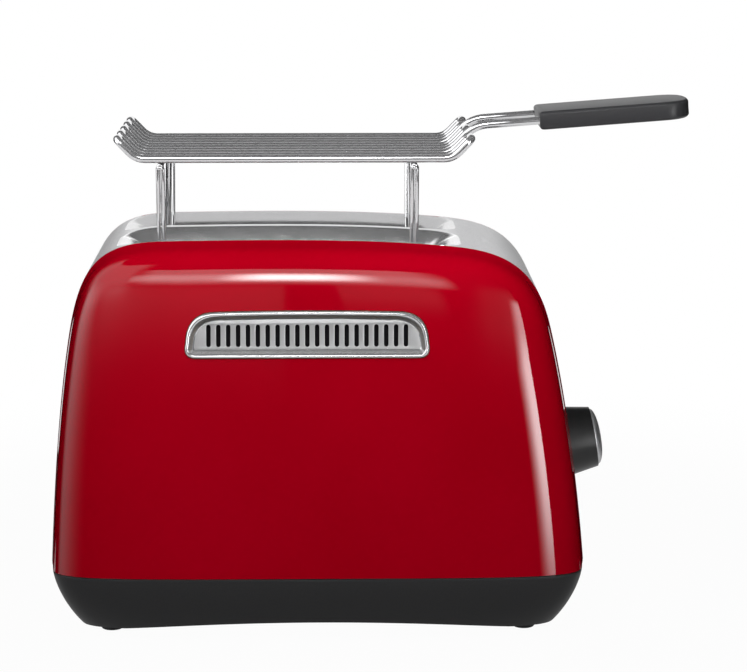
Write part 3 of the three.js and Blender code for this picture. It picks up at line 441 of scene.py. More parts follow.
def eased(points, radius, steps=5, closed=False):
    """A polyline whose corners are rounded: each bend starts up to radius before its corner."""
    points = [np.asarray(p, float) for p in points]
    count = len(points)
    most_share = 0.48
    made = []
    for i, corner in enumerate(points):
        if not closed and i in (0, count - 1):
            made.append(corner)
            continue
        before, after = points[i - 1] - corner, points[(i + 1) % count] - corner
        to_before, to_after = np.linalg.norm(before), np.linalg.norm(after)
        reach = min(radius, to_before * most_share, to_after * most_share)
        start, end = corner + before / to_before * reach, corner + after / to_after * reach
        made.extend(bezier([start, corner, end], np.linspace(0, 1, steps + 1)))
    return np.array(made)


def rounded_box(left, right, low, high, radius, steps=5):
    """A rectangle's outline with round corners."""
    return eased([(left, low), (right, low), (right, high), (left, high)], radius, steps, closed=True)


def outline():
    """The body's ends and top, [x, z], from the left foot to the right one."""
    reach = (HALF_LENGTH, BODY_TOP - BORDER)
    steps = np.linspace(0, 1, 80)
    parts = [bezier(np.array(shares) * reach + (0, BORDER), steps) for shares in OUTLINE_SHARES]
    return np.vstack([parts[0]] + [part[1:] for part in parts[1:]])


SKIN = outline()
SKIN_RUN = run_of(SKIN)


def top_at(x):
    """Height of the top skin over a place along X."""
    return np.interp(x, SKIN[:, 0], SKIN[:, 1])


def end_at(z):
    """Place of the +X end's skin at a height."""
    half = SKIN[np.argmax(SKIN[:, 1]):]
    return np.interp(z, half[::-1, 1], half[::-1, 0])


# The shells' swell from the band to the middle: shares of the outline and of the depth. They fall a
# little from the seam on, and then turn down over a round shoulder.
swell_turn = np.linspace(0, math.pi / 2, 4000)
SWELL_DEEP = np.sin(swell_turn) ** (2 / BULGE_POWER)
SWELL_SHARE = np.cos(swell_turn) ** (2 / BULGE_POWER) - BULGE_FALL * SWELL_DEEP * (1 - SWELL_DEEP)


def swell(count):
    """The swell in even steps: [share of the outline, share of the depth]."""
    reach = (BODY_TOP - BORDER, SHELL_DEPTH)
    return evenly(np.stack([SWELL_SHARE, SWELL_DEEP], axis=1) * reach, count) / reach


def depth_at(z):
    """How far the shells' middle stands out from the band at a height: they lean in to the top."""
    return SHELL_DEPTH - SHELL_LEAN * (z - BORDER) / (BODY_TOP - BORDER)


def shell_y(x, z):
    """How far the shells' skin stands out at a place seen from the side."""
    radius = np.hypot(x, z - BORDER)
    angle = np.arctan2(z - BORDER, x)
    edges = np.arctan2(SKIN[:, 1] - BORDER, SKIN[:, 0])[::-1]
    reach = np.hypot(SKIN[:, 0], SKIN[:, 1] - BORDER)[::-1]
    share = radius / np.interp(angle, edges, reach)
    return BAND_HALF + depth_at(z) * np.interp(share, SWELL_SHARE[::-1], SWELL_DEEP[::-1])


def inside(points, polygon):
    """Which points lie inside a closed outline."""
    x, y = points[:, 0], points[:, 1]
    found = np.zeros(len(points), bool)
    for (x0, y0), (x1, y1) in zip(polygon, np.roll(polygon, -1, axis=0)):
        if y0 == y1:
            continue
        crosses = (y0 > y) != (y1 > y)
        found ^= crosses & (x < (x1 - x0) * (y - y0) / (y1 - y0) + x0)
    return found


def nearest(point, polygon):
    """The nearest place to a point on a closed outline."""
    start, end = polygon, np.roll(polygon, -1, axis=0)
    along = end - start
    share = np.clip(((point - start) * along).sum(1) / np.maximum((along ** 2).sum(1), 1e-12), 0, 1)
    places = start + along * share[:, None]
    return places[np.argmin(((places - point) ** 2).sum(1))]


def punched(flat, faces, polygons):
    """Cuts holes in a fine sheet laid out flat: cells that reach into a hole go, and what is left
    round the hole is drawn up to its edge."""
    flat = flat.copy()
    faces = np.array(faces)
    for polygon in polygons:
        hit = inside(flat, polygon)
        gone = hit[faces].any(axis=1)
        rim = np.unique(faces[gone])
        faces = faces[~gone]
        kept = np.unique(faces)
        for i in np.intersect1d(rim, kept):
            flat[i] = nearest(flat[i], polygon)
    return flat, faces.tolist()


# Mesh making

def rings_of(rows, count, closed=True):
    """Faces between rows of count points each."""
    faces = []
    for row in range(rows - 1):
        for i in range(count if closed else count - 1):
            a, b = row * count + i, row * count + (i + 1) % count
            faces.append([a, b, b + count, a + count])
    return faces


def filled_rings(rows, count):
    """Faces between closed rows of count points each, with the first and last row filled."""
    last = (rows - 1) * count
    return rings_of(rows, count) + [list(range(count)), [last + i for i in range(count)]]


def flipped(faces):
    """Faces that look the other way."""
    return [face[::-1] for face in faces]


def placed(name, data):
    """A new object in the scene."""
    piece = bpy.data.objects.new(name, data)
    bpy.context.collection.objects.link(piece)
    return piece


def settle(piece, crease):
    """Bakes the modifiers in, and keeps edges sharper than crease degrees crisp."""
    graph = bpy.context.evaluated_depsgraph_get()
    mesh = bpy.data.meshes.new_from_object(piece.evaluated_get(graph))
    piece.modifiers.clear()
    piece.data = mesh
    mesh.shade_smooth()
    mesh.set_sharp_from_angle(angle=math.radians(crease))


def make(name, parts, stands_for, sheet=0.0, crease=32, inner=None):
    """One piece from parts, each [points, faces, finish]. It rides where the node it stands for
    rides. sheet gives an open skin its thickness, inwards, and inner finishes its hidden side."""
    form = bmesh.new()
    finishes = []
    for points, faces, material in parts:
        if material not in finishes:
            finishes.append(material)
        in_frame = (np.asarray(points, float) + (MIDDLE_X, 0, 0)) * MM
        corners = [form.verts.new(p) for p in in_frame]
        for face in faces:
            loop = [corners[i] for i in dict.fromkeys(face)]
            if len(loop) > 2 and not form.faces.get(loop):
                made = form.faces.new(loop)
                made.material_index = finishes.index(material)
    bmesh.ops.remove_doubles(form, verts=form.verts, dist=0.002 * MM)
    bmesh.ops.dissolve_degenerate(form, edges=form.edges, dist=0.001 * MM)
    loose = [v for v in form.verts if not v.link_faces]
    bmesh.ops.delete(form, geom=loose, context="VERTS")
    if not sheet:
        bmesh.ops.recalc_face_normals(form, faces=form.faces)
    mesh = bpy.data.meshes.new(name)
    form.to_mesh(mesh)
    form.free()
    piece = placed(name, mesh)
    for material in finishes + ([inner] if inner else []):
        mesh.materials.append(material)
    if sheet:
        wall = piece.modifiers.new("wall", "SOLIDIFY")
        wall.thickness = sheet * MM
        wall.offset = -1.0
        wall.use_even_offset = True
        wall.material_offset = len(finishes) if inner else 0
    settle(piece, crease)
    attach(piece, BODY_OF[stands_for[0]])
    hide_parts(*stands_for)
    # The clean top of the enamel in the photograph mirrors no rack
    piece.visible_glossy = not stands_for[0].startswith("rack_")
    return piece


def soften(piece, width):
    """Rounds the edges of a piece a little, as moulding and deburring do."""
    weld = piece.modifiers.new("weld", "WELD")
    weld.merge_threshold = 0.001 * MM
    bevel = piece.modifiers.new("edges", "BEVEL")
    bevel.width = width * MM
    bevel.segments = 2
    bevel.limit_method = "ANGLE"
    bevel.angle_limit = math.radians(30)
    bevel.use_clamp_overlap = True
    bevel.harden_normals = True


def turned(profile, sides=96):
    """A turned form: the profile is [radius, place along +X]."""
    angle = np.linspace(0, 2 * math.pi, sides, endpoint=False)
    points = [[along, r * math.cos(a), r * math.sin(a)] for r, along in profile for a in angle]
    return np.array(points), rings_of(len(profile), sides)


def upright(points):
    """A turned form stood on end: its +X becomes +Z."""
    return points[:, [1, 2, 0]]


def on_panel(points):
    """From [out, across, up] on the leaning control panel to body places."""
    out, across, up = np.asarray(points, float).T
    cos, sin = math.cos(CONTROL_TILT), math.sin(CONTROL_TILT)
    return np.stack([end_at(CONTROL_Z) + out * cos - up * sin, across, CONTROL_Z + out * sin + up * cos],
                    axis=1)


def tube(route, radius, sides=14, closed=False):
    """A round wire along a route of points, with rounded ends where it is open."""
    route = np.asarray(route, float)
    apart = 1e-4
    keep = [0] + [i for i in range(1, len(route)) if np.linalg.norm(route[i] - route[i - 1]) > apart]
    route = route[keep]
    if closed and np.linalg.norm(route[0] - route[-1]) < apart:
        route = route[:-1]
    if closed:
        ahead = np.roll(route, -1, axis=0) - np.roll(route, 1, axis=0)
    else:
        ahead = np.gradient(route, axis=0)
    ahead /= np.linalg.norm(ahead, axis=1)[:, None]
    askew = (0.31, 0.17, 0.93)    # No wire starts in this direction
    side = np.cross(ahead[0], askew)
    frames = []
    for direction in ahead:
        side = side - direction * side.dot(direction)
        side /= np.linalg.norm(side)
        frames.append((side, np.cross(direction, side)))
    angle = np.linspace(0, 2 * math.pi, sides, endpoint=False)

    def ring(i, size_share=1.0, ahead_share=0.0):
        a, b = frames[i]
        middle, size = route[i] + ahead[i] * radius * ahead_share, radius * size_share
        return [middle + size * (math.cos(t) * a + math.sin(t) * b) for t in angle]

    rows = [ring(i) for i in range(len(route))]
    if closed:
        faces = [[i % (len(rows) * sides) for i in face] for face in rings_of(len(rows) + 1, sides)]
        return np.array(rows).reshape(-1, 3), twist_closed(rows, faces, sides)
    # A rounded end's rings, from its tip: shares of the radius in size and in place
    end_shares = ((0.0, 0.0), (0.5, 0.05), (0.8, 0.2), (1.0, 0.45))
    start = [ring(0, size, place) for size, place in end_shares]
    stop = [ring(-1, size, -place) for size, place in reversed(end_shares)]
    rows = start + rows[1:-1] + stop
    return np.array(rows).reshape(-1, 3), rings_of(len(rows), sides)


def rod(start, end, radius, sides=10):
    """A straight wire between two points."""
    start, end = np.array(start, float), np.array(end, float)
    return tube([start, (start + end) / 2, end], radius, sides)


def twist_closed(rows, faces, sides):
    """Closes a loop of wire: the last ring meets the first one at its nearest point."""
    first, last = np.array(rows[0]), np.array(rows[-1])
    turn = int(np.argmin(np.linalg.norm(first - last[0], axis=1)))
    for face in faces[-sides:]:
        face[2], face[3] = (face[2] + turn) % sides, (face[3] + turn) % sides
    return faces


# Shells

def vent_outline(grow, steps=10):
    """The vent's outline, [x, z], grown by a margin."""
    low, high = VENT_LOW - grow, VENT_HIGH + grow
    bottom, top = VENT_HALF_BOTTOM + grow, VENT_HALF_TOP + grow
    side, corner = bottom - VENT_SIDE_LEAN, VENT_LOW_CORNER + grow
    bend, shoulder = VENT_HIGH - VENT_CORNER_RISE, high - VENT_ARCH
    bends = [
        [(bottom - corner, low), (bottom, low), (bottom, low + corner)],
        [(side, bend), (side - VENT_SIDE_LEAN, shoulder), (top, shoulder)],
        [(top, shoulder), (0, high + VENT_ARCH), (-top, shoulder)],
        [(-top, shoulder), (VENT_SIDE_LEAN - side, shoulder), (-side, bend)],
        [(-bottom, low + corner), (-bottom, low), (corner - bottom, low)],
    ]
    points = []
    for k, controls in enumerate(bends):
        curve = bezier(controls, np.linspace(0, 1, (3 if k == 2 else 1) * steps))
        points.extend(curve[1:] if k in (2, 3) else curve)
    return np.array(points) + (VENT_X, 0)


def shell(name, node, side):
    """One pressed shell: its skin swells from the band, and has a hole for the vent."""
    columns, rows = 420, 125
    edge = evenly(SKIN, columns)
    curve = swell(rows)
    foot = (0, BORDER)
    flat = np.vstack([(edge - foot) * share + foot for share, _ in curve])
    faces = rings_of(len(curve), len(edge), closed=False)
    moved, faces = punched(flat, faces, [vent_outline(SEAM)])
    depth = np.repeat(curve[:, 1], len(edge)) * depth_at(flat[:, 1]) + BAND_HALF
    changed = np.abs(moved - flat).max(axis=1) > 0
    changed[:len(edge)] = False
    depth[changed] = shell_y(*moved[changed].T)
    points = np.stack([moved[:, 0], side * depth, moved[:, 1]], axis=1)
    border = points[:len(edge)]
    rolled = border - (border - (0, border[0, 1], BORDER)) * (BORDER_ROLL / HALF_LENGTH)
    points = np.vstack([rolled, points])
    faces = rings_of(2, len(edge), closed=False) + [[i + len(edge) for i in f] for f in faces]
    if side < 0:
        faces = flipped(faces)
    piece = make(name, [[points, faces, ENAMEL]], [node], sheet=SHEET, crease=40, inner=GROUND_COAT_AND_SHADE)
    # Chrome and steel mirror the studio and not the red, as in the photograph
    piece.visible_glossy = False


# Vents

def vent(name, node, side):
    """One vent: a rolled bright rim, a sloping wall, a satin plate with upright slots and a dark sheet of
    painted shade behind it.
    """
    # Rings of the rim and the wall: how far outside the vent's outline, and how deep
    profile = [(-0.2, 1.4), (0, 0.3), (-0.15, -0.5), (-0.55, -1.0), (-1.0, -1.15), (-1.5, -1.0),
               (-1.9, -0.5), (-2.5, 0.7), (-3.2, 2.1), (-3.7, 2.95), (-VENT_RIM, VENT_DEEP),
               (-VENT_RIM - 0.5, VENT_DEEP + 0.08)]
    rows = [np.insert(vent_outline(grow), 1, deep, axis=1) for grow, deep in profile]
    rim = [np.vstack(rows), rings_of(len(rows), len(rows[0])), BRIGHT]
    middle = (VENT_LOW + VENT_HIGH) / 2
    face = float(shell_y(0, middle))
    cos, sin = math.cos(VENT_TILT), math.sin(VENT_TILT)
    parts = []
    # The last part is the dark sheet of painted shade behind the plate
    for points, faces, material in (rim, plate_with_slots(), vent_shade_sheet()):
        x, y, z = (np.asarray(points, float) - (VENT_X, 0, middle)).T
        y, z = y * cos + z * sin, z * cos - y * sin
        leaning = np.stack([VENT_X - side * x, side * (face - y), z + middle], axis=1)
        parts.append([leaning, faces, material])
    piece = make(name, parts, [node], crease=38)
    # The polished slope under the plate stays free of the slots' mirror image
    piece.visible_glossy = False


def vent_shade_sheet():
    """A dark sheet of painted shade behind the plate, open above and below, that keeps the heaters out of
    sight.
    """
    margin, columns = 8.0, 40
    low, high, lip = VENT_LOW + 3.0, VENT_HIGH - 4.0, 1.0
    back = 8.0
    x = VENT_X + np.linspace(-VENT_HALF_TOP - margin, VENT_HALF_TOP + margin, columns)
    rows = []
    for z, deep in ((low, back - lip), (low + lip, back), (high - lip, back), (high, back - lip)):
        rows.append(np.stack([x, np.full(columns, deep), np.full(columns, z)], axis=1))
    return [np.vstack(rows), rings_of(len(rows), columns, closed=False), GROUND_COAT_AND_SHADE]


def plate_with_slots():
    """The vent's plate as points and faces, with rounded lips round its slots."""
    flat = bpy.data.curves.new("plate", "CURVE")
    flat.dimensions = "2D"
    flat.fill_mode = "BOTH"
    lip = 0.28
    flat.extrude = (SHEET / 2 - lip) * MM
    flat.bevel_depth = lip * MM
    flat.bevel_resolution = 2
    flat.offset = -lip * MM

    def loop(points):
        spline = flat.splines.new("POLY")
        spline.points.add(len(points) - 1)
        for point, (x, z) in zip(spline.points, points):
            point.co = (x * MM, z * MM, 0, 1)
        spline.use_cyclic_u = True

    loop(vent_outline(0.2 - VENT_RIM))
    half, reach = VENT_SLOT_WIDTH / 2, (VENT_SLOT_LENGTH - VENT_SLOT_WIDTH) / 2
    turn = np.linspace(0, math.pi, 9)
    for i in range(VENT_SLOTS):
        x = VENT_X + (i - (VENT_SLOTS - 1) / 2) * VENT_PITCH
        upper = [(x + half * math.cos(a), VENT_SLOT_MIDDLE + reach + half * math.sin(a)) for a in turn]
        lower = [(x - half * math.cos(a), VENT_SLOT_MIDDLE - reach - half * math.sin(a)) for a in turn]
        loop(upper + lower)
    holder = placed("plate", flat)
    graph = bpy.context.evaluated_depsgraph_get()
    mesh = bpy.data.meshes.new_from_object(holder.evaluated_get(graph))
    points = np.array([v.co for v in mesh.vertices]) / MM
    points = np.stack([points[:, 0], VENT_DEEP + SHEET / 2 - points[:, 2], points[:, 1]], axis=1)
    faces = [list(p.vertices) for p in mesh.polygons]
    bpy.data.objects.remove(holder)
    bpy.data.curves.remove(flat)
    bpy.data.meshes.remove(mesh)
    return points, faces, PLATE


# Steel band

def slot_ring(share, side, corner_steps=14):
    """A bread slot's outline, [x, y], from the throat (0) to the rim of its dish (1)."""
    left, right = SLOT_LEFT - DISH_END * share, SLOT_RIGHT + DISH_END * share
    inner, outer = SLOT_INNER - DISH_INNER * share, SLOT_OUTER + DISH_OUTER * share
    corner = SLOT_CORNER + DISH_INNER * share
    centres = [(right - corner, outer - corner), (left + corner, outer - corner),
               (left + corner, inner + corner), (right - corner, inner + corner)]
    side_steps = (60, 12)    # Along the slot, and across its ends
    points = []
    for quarter, centre in enumerate(centres):
        angle = math.pi / 2 * (quarter + np.linspace(0, 1, corner_steps))
        round_corner = np.column_stack([np.cos(angle), np.sin(angle)]) * corner
        points.extend(centre + round_corner)
        start, end = points[-1], centres[(quarter + 1) % 4] + round_corner[-1]
        shares = np.linspace(0, 1, side_steps[quarter % 2] + 1)[1:-1, None]
        points.extend(start + (end - start) * shares)
    return np.array(points) * (1, side)


def top_band():
    """The steel band over the top and both ends, with its dished slots and control openings."""
    run_points, width_points, bore_sides, dish_rows = 470, 76, 40, 22
    along = np.linspace(0, SKIN_RUN[-1], run_points)
    across = np.linspace(-BAND_HALF + SEAM, BAND_HALF - SEAM, width_points)
    flat = np.array([[s, y] for s in along for y in across])
    faces = rings_of(len(along), len(across), closed=False)
    holes = []
    for side in (-1, 1):
        ring = slot_ring(1, side)
        holes.append(np.column_stack([np.interp(ring[:, 0], SKIN[:, 0], SKIN_RUN), ring[:, 1]]))
    crest = np.argmax(SKIN[:, 1])

    def run_of_height(z):
        return np.interp(z, SKIN[crest:, 1][::-1], SKIN_RUN[crest:][::-1])

    low, high = body_box("lever_channel")
    wide = high[1] + SEAM
    mouth = rounded_box(-wide, wide, low[2] - SEAM, high[2] + SEAM, 1.0)
    holes.append(np.column_stack([run_of_height(mouth[:, 1]), mouth[:, 0]]))
    turn = np.linspace(0, 2 * math.pi, bore_sides, endpoint=False)
    bores = [(y, up, BUTTON_RADIUS + SEAM) for y in (-BUTTON_Y, BUTTON_Y) for up in (-BUTTON_UP, BUTTON_UP)]
    bores.append((0, 0, SHAFT_BORE))
    for y, up, radius in bores:
        height = CONTROL_Z + (up + radius * np.sin(turn)) * math.cos(CONTROL_TILT)
        holes.append(np.column_stack([run_of_height(height), y + radius * np.cos(turn)]))
    flat, faces = punched(flat, faces, holes)
    x, z = (np.interp(flat[:, 0], SKIN_RUN, column) for column in SKIN.T)
    parts = [[np.column_stack([x, flat[:, 1], z]), flipped(faces), SATIN]]
    sines = np.sin(np.linspace(0, math.pi / 2, dish_rows))
    levels = [(1 - sine, DISH_DROP * sine ** DISH_POWER) for sine in sines]
    levels += [(0, fall) for fall in np.linspace(DISH_DROP, COLLAR_DROP, 4)[1:]]
    for side in (-1, 1):
        rows = []
        for share, fall in levels:
            ring = slot_ring(share, side)
            rows.append(np.column_stack([ring, top_at(ring[:, 0]) - fall]))
        dish = rings_of(len(rows), len(rows[0]))
        parts.append([np.vstack(rows), flipped(dish) if side < 0 else dish, BRIGHT])
    make("top_band_sheet", parts, ["top_band"], sheet=SHEET, crease=40)


# Base

def tuck_scale(z):
    """How far the base has drawn in at a height: scales of its plan along X and Y."""
    fall = np.clip((BORDER - SEAM - z) / TUCK_RISE, 0, 1)
    tuck = 1 - (1 - fall ** TUCK_POWER) ** (1 / TUCK_POWER)
    return 1 - TUCK_X * tuck / HALF_LENGTH, 1 - TUCK_Y * tuck / (BAND_HALF + SHELL_DEPTH)


def arch_at(x):
    """Height of the underside, with its long arch, over the table."""
    radius = (ARCH_HALF ** 2 + ARCH_RISE ** 2) / (2 * ARCH_RISE)
    inside_arch = np.clip(radius ** 2 - np.square(x), 0, None)
    return np.maximum(BASE_BOTTOM, BASE_BOTTOM + ARCH_RISE - radius + np.sqrt(inside_arch))


def base_skin():
    """The moulded base: tucked in towards the feet, arched below, with a rim under the shells."""
    swell_points, quarter_points, end_points = 70, 90, 60
    bulge = swell(swell_points) * (HALF_LENGTH, SHELL_DEPTH) + (0, BAND_HALF)
    quarter = evenly(bulge, quarter_points)
    half = np.vstack([quarter, (quarter[::-1] * (-1, 1))[1:]])
    across = np.linspace(BAND_HALF, -BAND_HALF, end_points)[1:-1]
    left = np.column_stack([np.full(len(across), -HALF_LENGTH), across])
    plan = np.vstack([half, left, half[::-1] * (1, -1), left[::-1] * (-1, 1)])
    count = len(plan)
    top = BORDER - SEAM
    bottom = np.full(count, BASE_BOTTOM)
    for _ in range(4):
        bottom = arch_at(plan[:, 0] * tuck_scale(bottom)[0])

    def level(z, inset):
        sx, sy = tuck_scale(z)
        scale = [np.broadcast_to(sx - inset / HALF_LENGTH, count),
                 np.broadcast_to(sy - inset / (BAND_HALF + SHELL_DEPTH), count)]
        return np.column_stack([plan * np.transpose(scale), np.broadcast_to(z, count)])

    floor_inside = np.maximum(bottom + BASE_WALL, BASE_BOTTOM + BASE_WALL + ARCH_RISE)
    inner_rows, outer_rows, near_edge = 24, 30, 0.02
    edge_round, rim_inset = 0.15, 0.55
    rows = [level(top + (floor_inside - top) * share, BASE_WALL)
            for share in np.linspace(1, near_edge, inner_rows)]
    rows += [level(top, BASE_WALL), level(top, rim_inset), level(top - edge_round, edge_round)]
    rows += [level(top + (bottom - top) * share, 0)
             for share in np.linspace(near_edge, 1, outer_rows)]
    points = np.vstack(rows)
    faces = rings_of(len(rows), count)
    low, high = body_box("crumb_tray_front")
    gap = rounded_box(low[1] - SEAM, high[1] + SEAM, low[2] - SEAM, high[2] + SEAM, 1.5)
    end_depth = 6.0
    at_end = points[np.array(faces), 0].max(axis=1) < high[0] + end_depth
    end_faces = [f for f, chosen in zip(faces, at_end) if chosen]
    rest = [f for f, chosen in zip(faces, at_end) if not chosen]
    flat, end_faces = punched(points[:, 1:], end_faces, [gap])
    changed = np.abs(flat - points[:, 1:]).max(axis=1) > 0
    within = np.where(np.arange(len(points)) < inner_rows * count, BASE_WALL, 0.0)
    points[changed, 1:] = flat[changed]
    points[changed, 0] = within[changed] - HALF_LENGTH * tuck_scale(flat[changed, 1])[0]
    # The underside, inside and outside: strips from the front edge to the rear one
    under = []
    mirror = 2 * len(half) + len(left) - 1
    for first in (0, (len(rows) - 1) * count):
        for i in range(len(half) - 1):
            under.append([first + i, first + i + 1, first + mirror - i - 1, first + mirror - i])
    jamb = np.column_stack([-HALF_LENGTH * tuck_scale(gap[:, 1])[0], gap])
    jamb = np.vstack([jamb, jamb + (BASE_WALL, 0, 0)])
    make("base_moulding", [[points, rest + end_faces + under, ABS], [jamb, rings_of(2, len(gap)), ABS]],
         ["base_housing"], crease=40)


def tray_front():
    """The crumb tray's front: a strip of the base's own skin, with rounded edges."""
    low, high = body_box("crumb_tray_front")

    def skin_x(z):
        return -HALF_LENGTH * tuck_scale(z)[0]

    rows = []
    for set_in, shrink in ((4.0, 0.0), (0.5, 0.0), (0.12, 0.15), (0.0, 0.5)):
        loop = rounded_box(low[1] + shrink, high[1] - shrink, low[2] + shrink, high[2] - shrink, 1.4, 6)
        rows.append(np.column_stack([skin_x(loop[:, 1]) + set_in, loop]))
    face = rows[-1]
    middle, corner = face[:, 2].mean(), 3.0
    for share in (0.66, 0.33):
        y = face[:, 1] - np.sign(face[:, 1]) * corner * (1 - share)
        z = middle + (face[:, 2] - middle) * share
        rows.append(np.column_stack([skin_x(z), y, z]))
    count = len(face)
    last = (len(rows) - 1) * count
    faces = rings_of(len(rows), count) + [list(range(last, last + count))]
    make("crumb_tray_handle", [[np.vstack(rows), faces, ABS]], ["crumb_tray_front"], crease=40)


# Feet, screws and the inlet

def feet():
    """Rubber pads with a small round at the table."""
    for node in starting("foot_"):
        low, high = body_box(node)
        radius, height, edge = (high[0] - low[0]) / 2, high[2], 0.7
        profile = eased([(0, height), (radius, height), (radius, 0.5), (radius - edge, 0), (0, 0)], 0.5)
        points, faces = turned(profile, 48)
        middle = ((low[0] + high[0]) / 2, (low[1] + high[1]) / 2, 0)
        make(node + "_pad", [[upright(points) + middle, faces, RUBBER]], [node])


def screws():
    """Pan head screws with a cross recess."""
    recess_floor, recess_slope, recess_arm = 1.1, 0.35, 1.5
    shank, length = 1.8, 12.0
    sides = 64
    angle = np.linspace(0, 2 * math.pi, sides, endpoint=False)
    arm = recess_arm * np.abs(np.cos(2 * angle)) ** 6
    for node in starting("screw_"):
        low, high = body_box(node)
        head = (high[0] - low[0]) / 2
        # Rings from the recess over the head to the shank's end: radius, height, cross or not
        rings = [(0, recess_floor, 0), (recess_slope, recess_floor, 1), (0.5, 0.1, 1), (head * 0.75, 0.12, 0),
                 (head, 0.7, 0), (head, 1.6, 0), (shank, 1.8, 0), (shank, length, 0), (0, length, 0)]
        rows = []
        for size, z, cross in rings:
            radius = size + cross * arm
            rows.append(np.column_stack([radius * np.cos(angle), radius * np.sin(angle), np.full(sides, z)]))
        points = np.vstack(rows) + ((low[0] + high[0]) / 2, (low[1] + high[1]) / 2, low[2])
        make(node + "_cross_head", [[points, rings_of(len(rows), sides), ZINC]], [node])


def inlet():
    """The bushing of the cord's inlet: two collars round an open neck."""
    low, high = body_box("cord_inlet")
    radius, wall, out = (high[0] - low[0]) / 2, low[1], high[1]
    bore, neck, groove, collar = 3.5, 5.0, 4.0, 2.2
    back, front = wall + groove, wall + groove + collar
    profile = eased([(bore, wall), (neck, wall), (neck, back), (radius, back), (radius, front), (neck, front),
                     (neck, out), (bore, out)], 0.4, 3, closed=True)
    points, faces = turned(np.vstack([profile, profile[:1]]), 48)
    middle = ((low[0] + high[0]) / 2, 0, (low[2] + high[2]) / 2)
    make("cord_inlet_bushing", [[points[:, [1, 0, 2]] + middle, faces, RUBBER]], ["cord_inlet"])


# Dial and buttons

def dial():
    """The dial: a hollow moulded cone with a hub, and a domed disc pressed into its face."""
    back, rim, wall, hub = DIAL_GAP, DIAL_GAP + DIAL_DEPTH, 2.0, 6.0
    seat = rim - 1.2
    outer = [(DIAL_BACK - wall, back), (DIAL_BACK, back), (DIAL_BACK - 0.2, back + 1.2), (DIAL_RIM, rim),
             (DIAL_CAP + SEAM, rim), (DIAL_CAP + SEAM, seat), (0, seat)]
    inner = [(0, seat - wall), (DIAL_RIM - wall, seat - wall), (DIAL_BACK - wall, back)]
    body, body_faces = turned(eased(outer + inner, 0.7, 4))
    bore, hub_back = 3.3, 2.8
    boss_profile = [(bore, seat - wall), (bore, hub_back), (hub, hub_back), (hub, seat - wall)]
    boss, boss_faces = turned(eased(boss_profile, 0.3, 3), 64)
    make("browning_knob_body", [[on_panel(body), body_faces, KNOB], [on_panel(boss), boss_faces, KNOB]],
         ["browning_knob"], crease=50)
    rise = DIAL_CAP_RISE - 0.1
    edge = [(0, seat + SEAM), (DIAL_CAP - 0.3, seat + SEAM), (DIAL_CAP, seat + 0.6), (DIAL_CAP, rim + 0.35)]
    dome = [(DIAL_CAP * math.cos(a) ** 0.8, rim + rise * math.sin(a))
            for a in np.linspace(0.28, math.pi / 2, 24)]
    points, faces = turned(np.array(edge + dome))
    make("knob_cap_disc", [[on_panel(points), faces, ALUMINIUM]], ["knob_cap"], crease=40)


def buttons():
    """Push buttons: a slightly crowned cap, a collar behind the panel and a stem."""
    collar, stem, collar_front, collar_back, stem_end = 6.5, 2.0, -2.4, -4.2, -9.4
    crown = [(r, BUTTON_PROUD - 0.5 * (r / BUTTON_RADIUS) ** 2) for r in (0, 1, 2, 3, 3.8)]
    profile = crown + [
        (BUTTON_RADIUS - 0.4, BUTTON_PROUD - 0.65), (BUTTON_RADIUS, BUTTON_PROUD - 1.4),
        (BUTTON_RADIUS, collar_front), (collar, collar_front), (collar, collar_back), (stem, collar_back),
        (stem, stem_end), (0, stem_end)]
    for end, y in (("front", -BUTTON_Y), ("rear", BUTTON_Y)):
        for level, up in (("upper", BUTTON_UP), ("lower", -BUTTON_UP)):
            node = f"button_{end}_{level}"
            points, faces = turned(np.array(profile), 64)
            make(node + "_cap", [[on_panel(points + (0, y, up)), faces, ABS]], [node], crease=50)


# Bun rack

def wire_at(number):
    """Place across the rack of one of its ten wires; number 0 is the first behind the middle."""
    return (number + 0.5) * PITCH


def turned_end(corner_x, direction, from_y, to_y, steps=7):
    """Points round a bent-up end, from one wire across to the next, with two round corners."""
    slope = math.hypot(TIP_RUN, TIP_RISE)
    across = math.copysign(1, to_y - from_y)
    turn = np.linspace(0, math.pi / 2, steps)
    points = []
    for y, out, angles in ((from_y, across, turn), (to_y, -across, turn[::-1])):
        for angle in angles:
            along = slope - TIP_CORNER * (1 - math.sin(angle))
            points.append((corner_x + direction * along * TIP_RUN / slope,
                           y + out * TIP_CORNER * (1 - math.cos(angle)), RACK_Z + along * TIP_RISE / slope))
    return points


def bent(before, corner, after, radius=RACK_BEND, steps=8):
    """The points of one round bend in a wire."""
    return eased([before, corner, after], radius, steps)[1:-1]


def rack_pairs():
    """The three closed pairs of rack wires."""
    for node, number in (("rack_pair_front", -5), ("rack_pair_middle", -1), ("rack_pair_rear", 3)):
        near, far = wire_at(number), wire_at(number + 1)
        left, right = turned_end(RACK_LEFT, -1, far, near), turned_end(RACK_RIGHT, 1, near, far)
        route = [
            *bent(left[-1], (RACK_LEFT, near, RACK_Z), (0, near, RACK_Z)),
            *bent((0, near, RACK_Z), (RACK_RIGHT, near, RACK_Z), right[0]), *right,
            *bent(right[-1], (RACK_RIGHT, far, RACK_Z), (0, far, RACK_Z)),
            *bent((0, far, RACK_Z), (RACK_LEFT, far, RACK_Z), left[0]), *left,
        ]
        make(node + "_wire", [[*tube(route, WIRE, 20, closed=True), CHROME]], [node], crease=60)


def handle_at(x):
    """Height of the handle's wires and of the grip's middle along X."""
    return GRIP_Z + GRIP_SLOPE * (x - GRIP_LEFT)


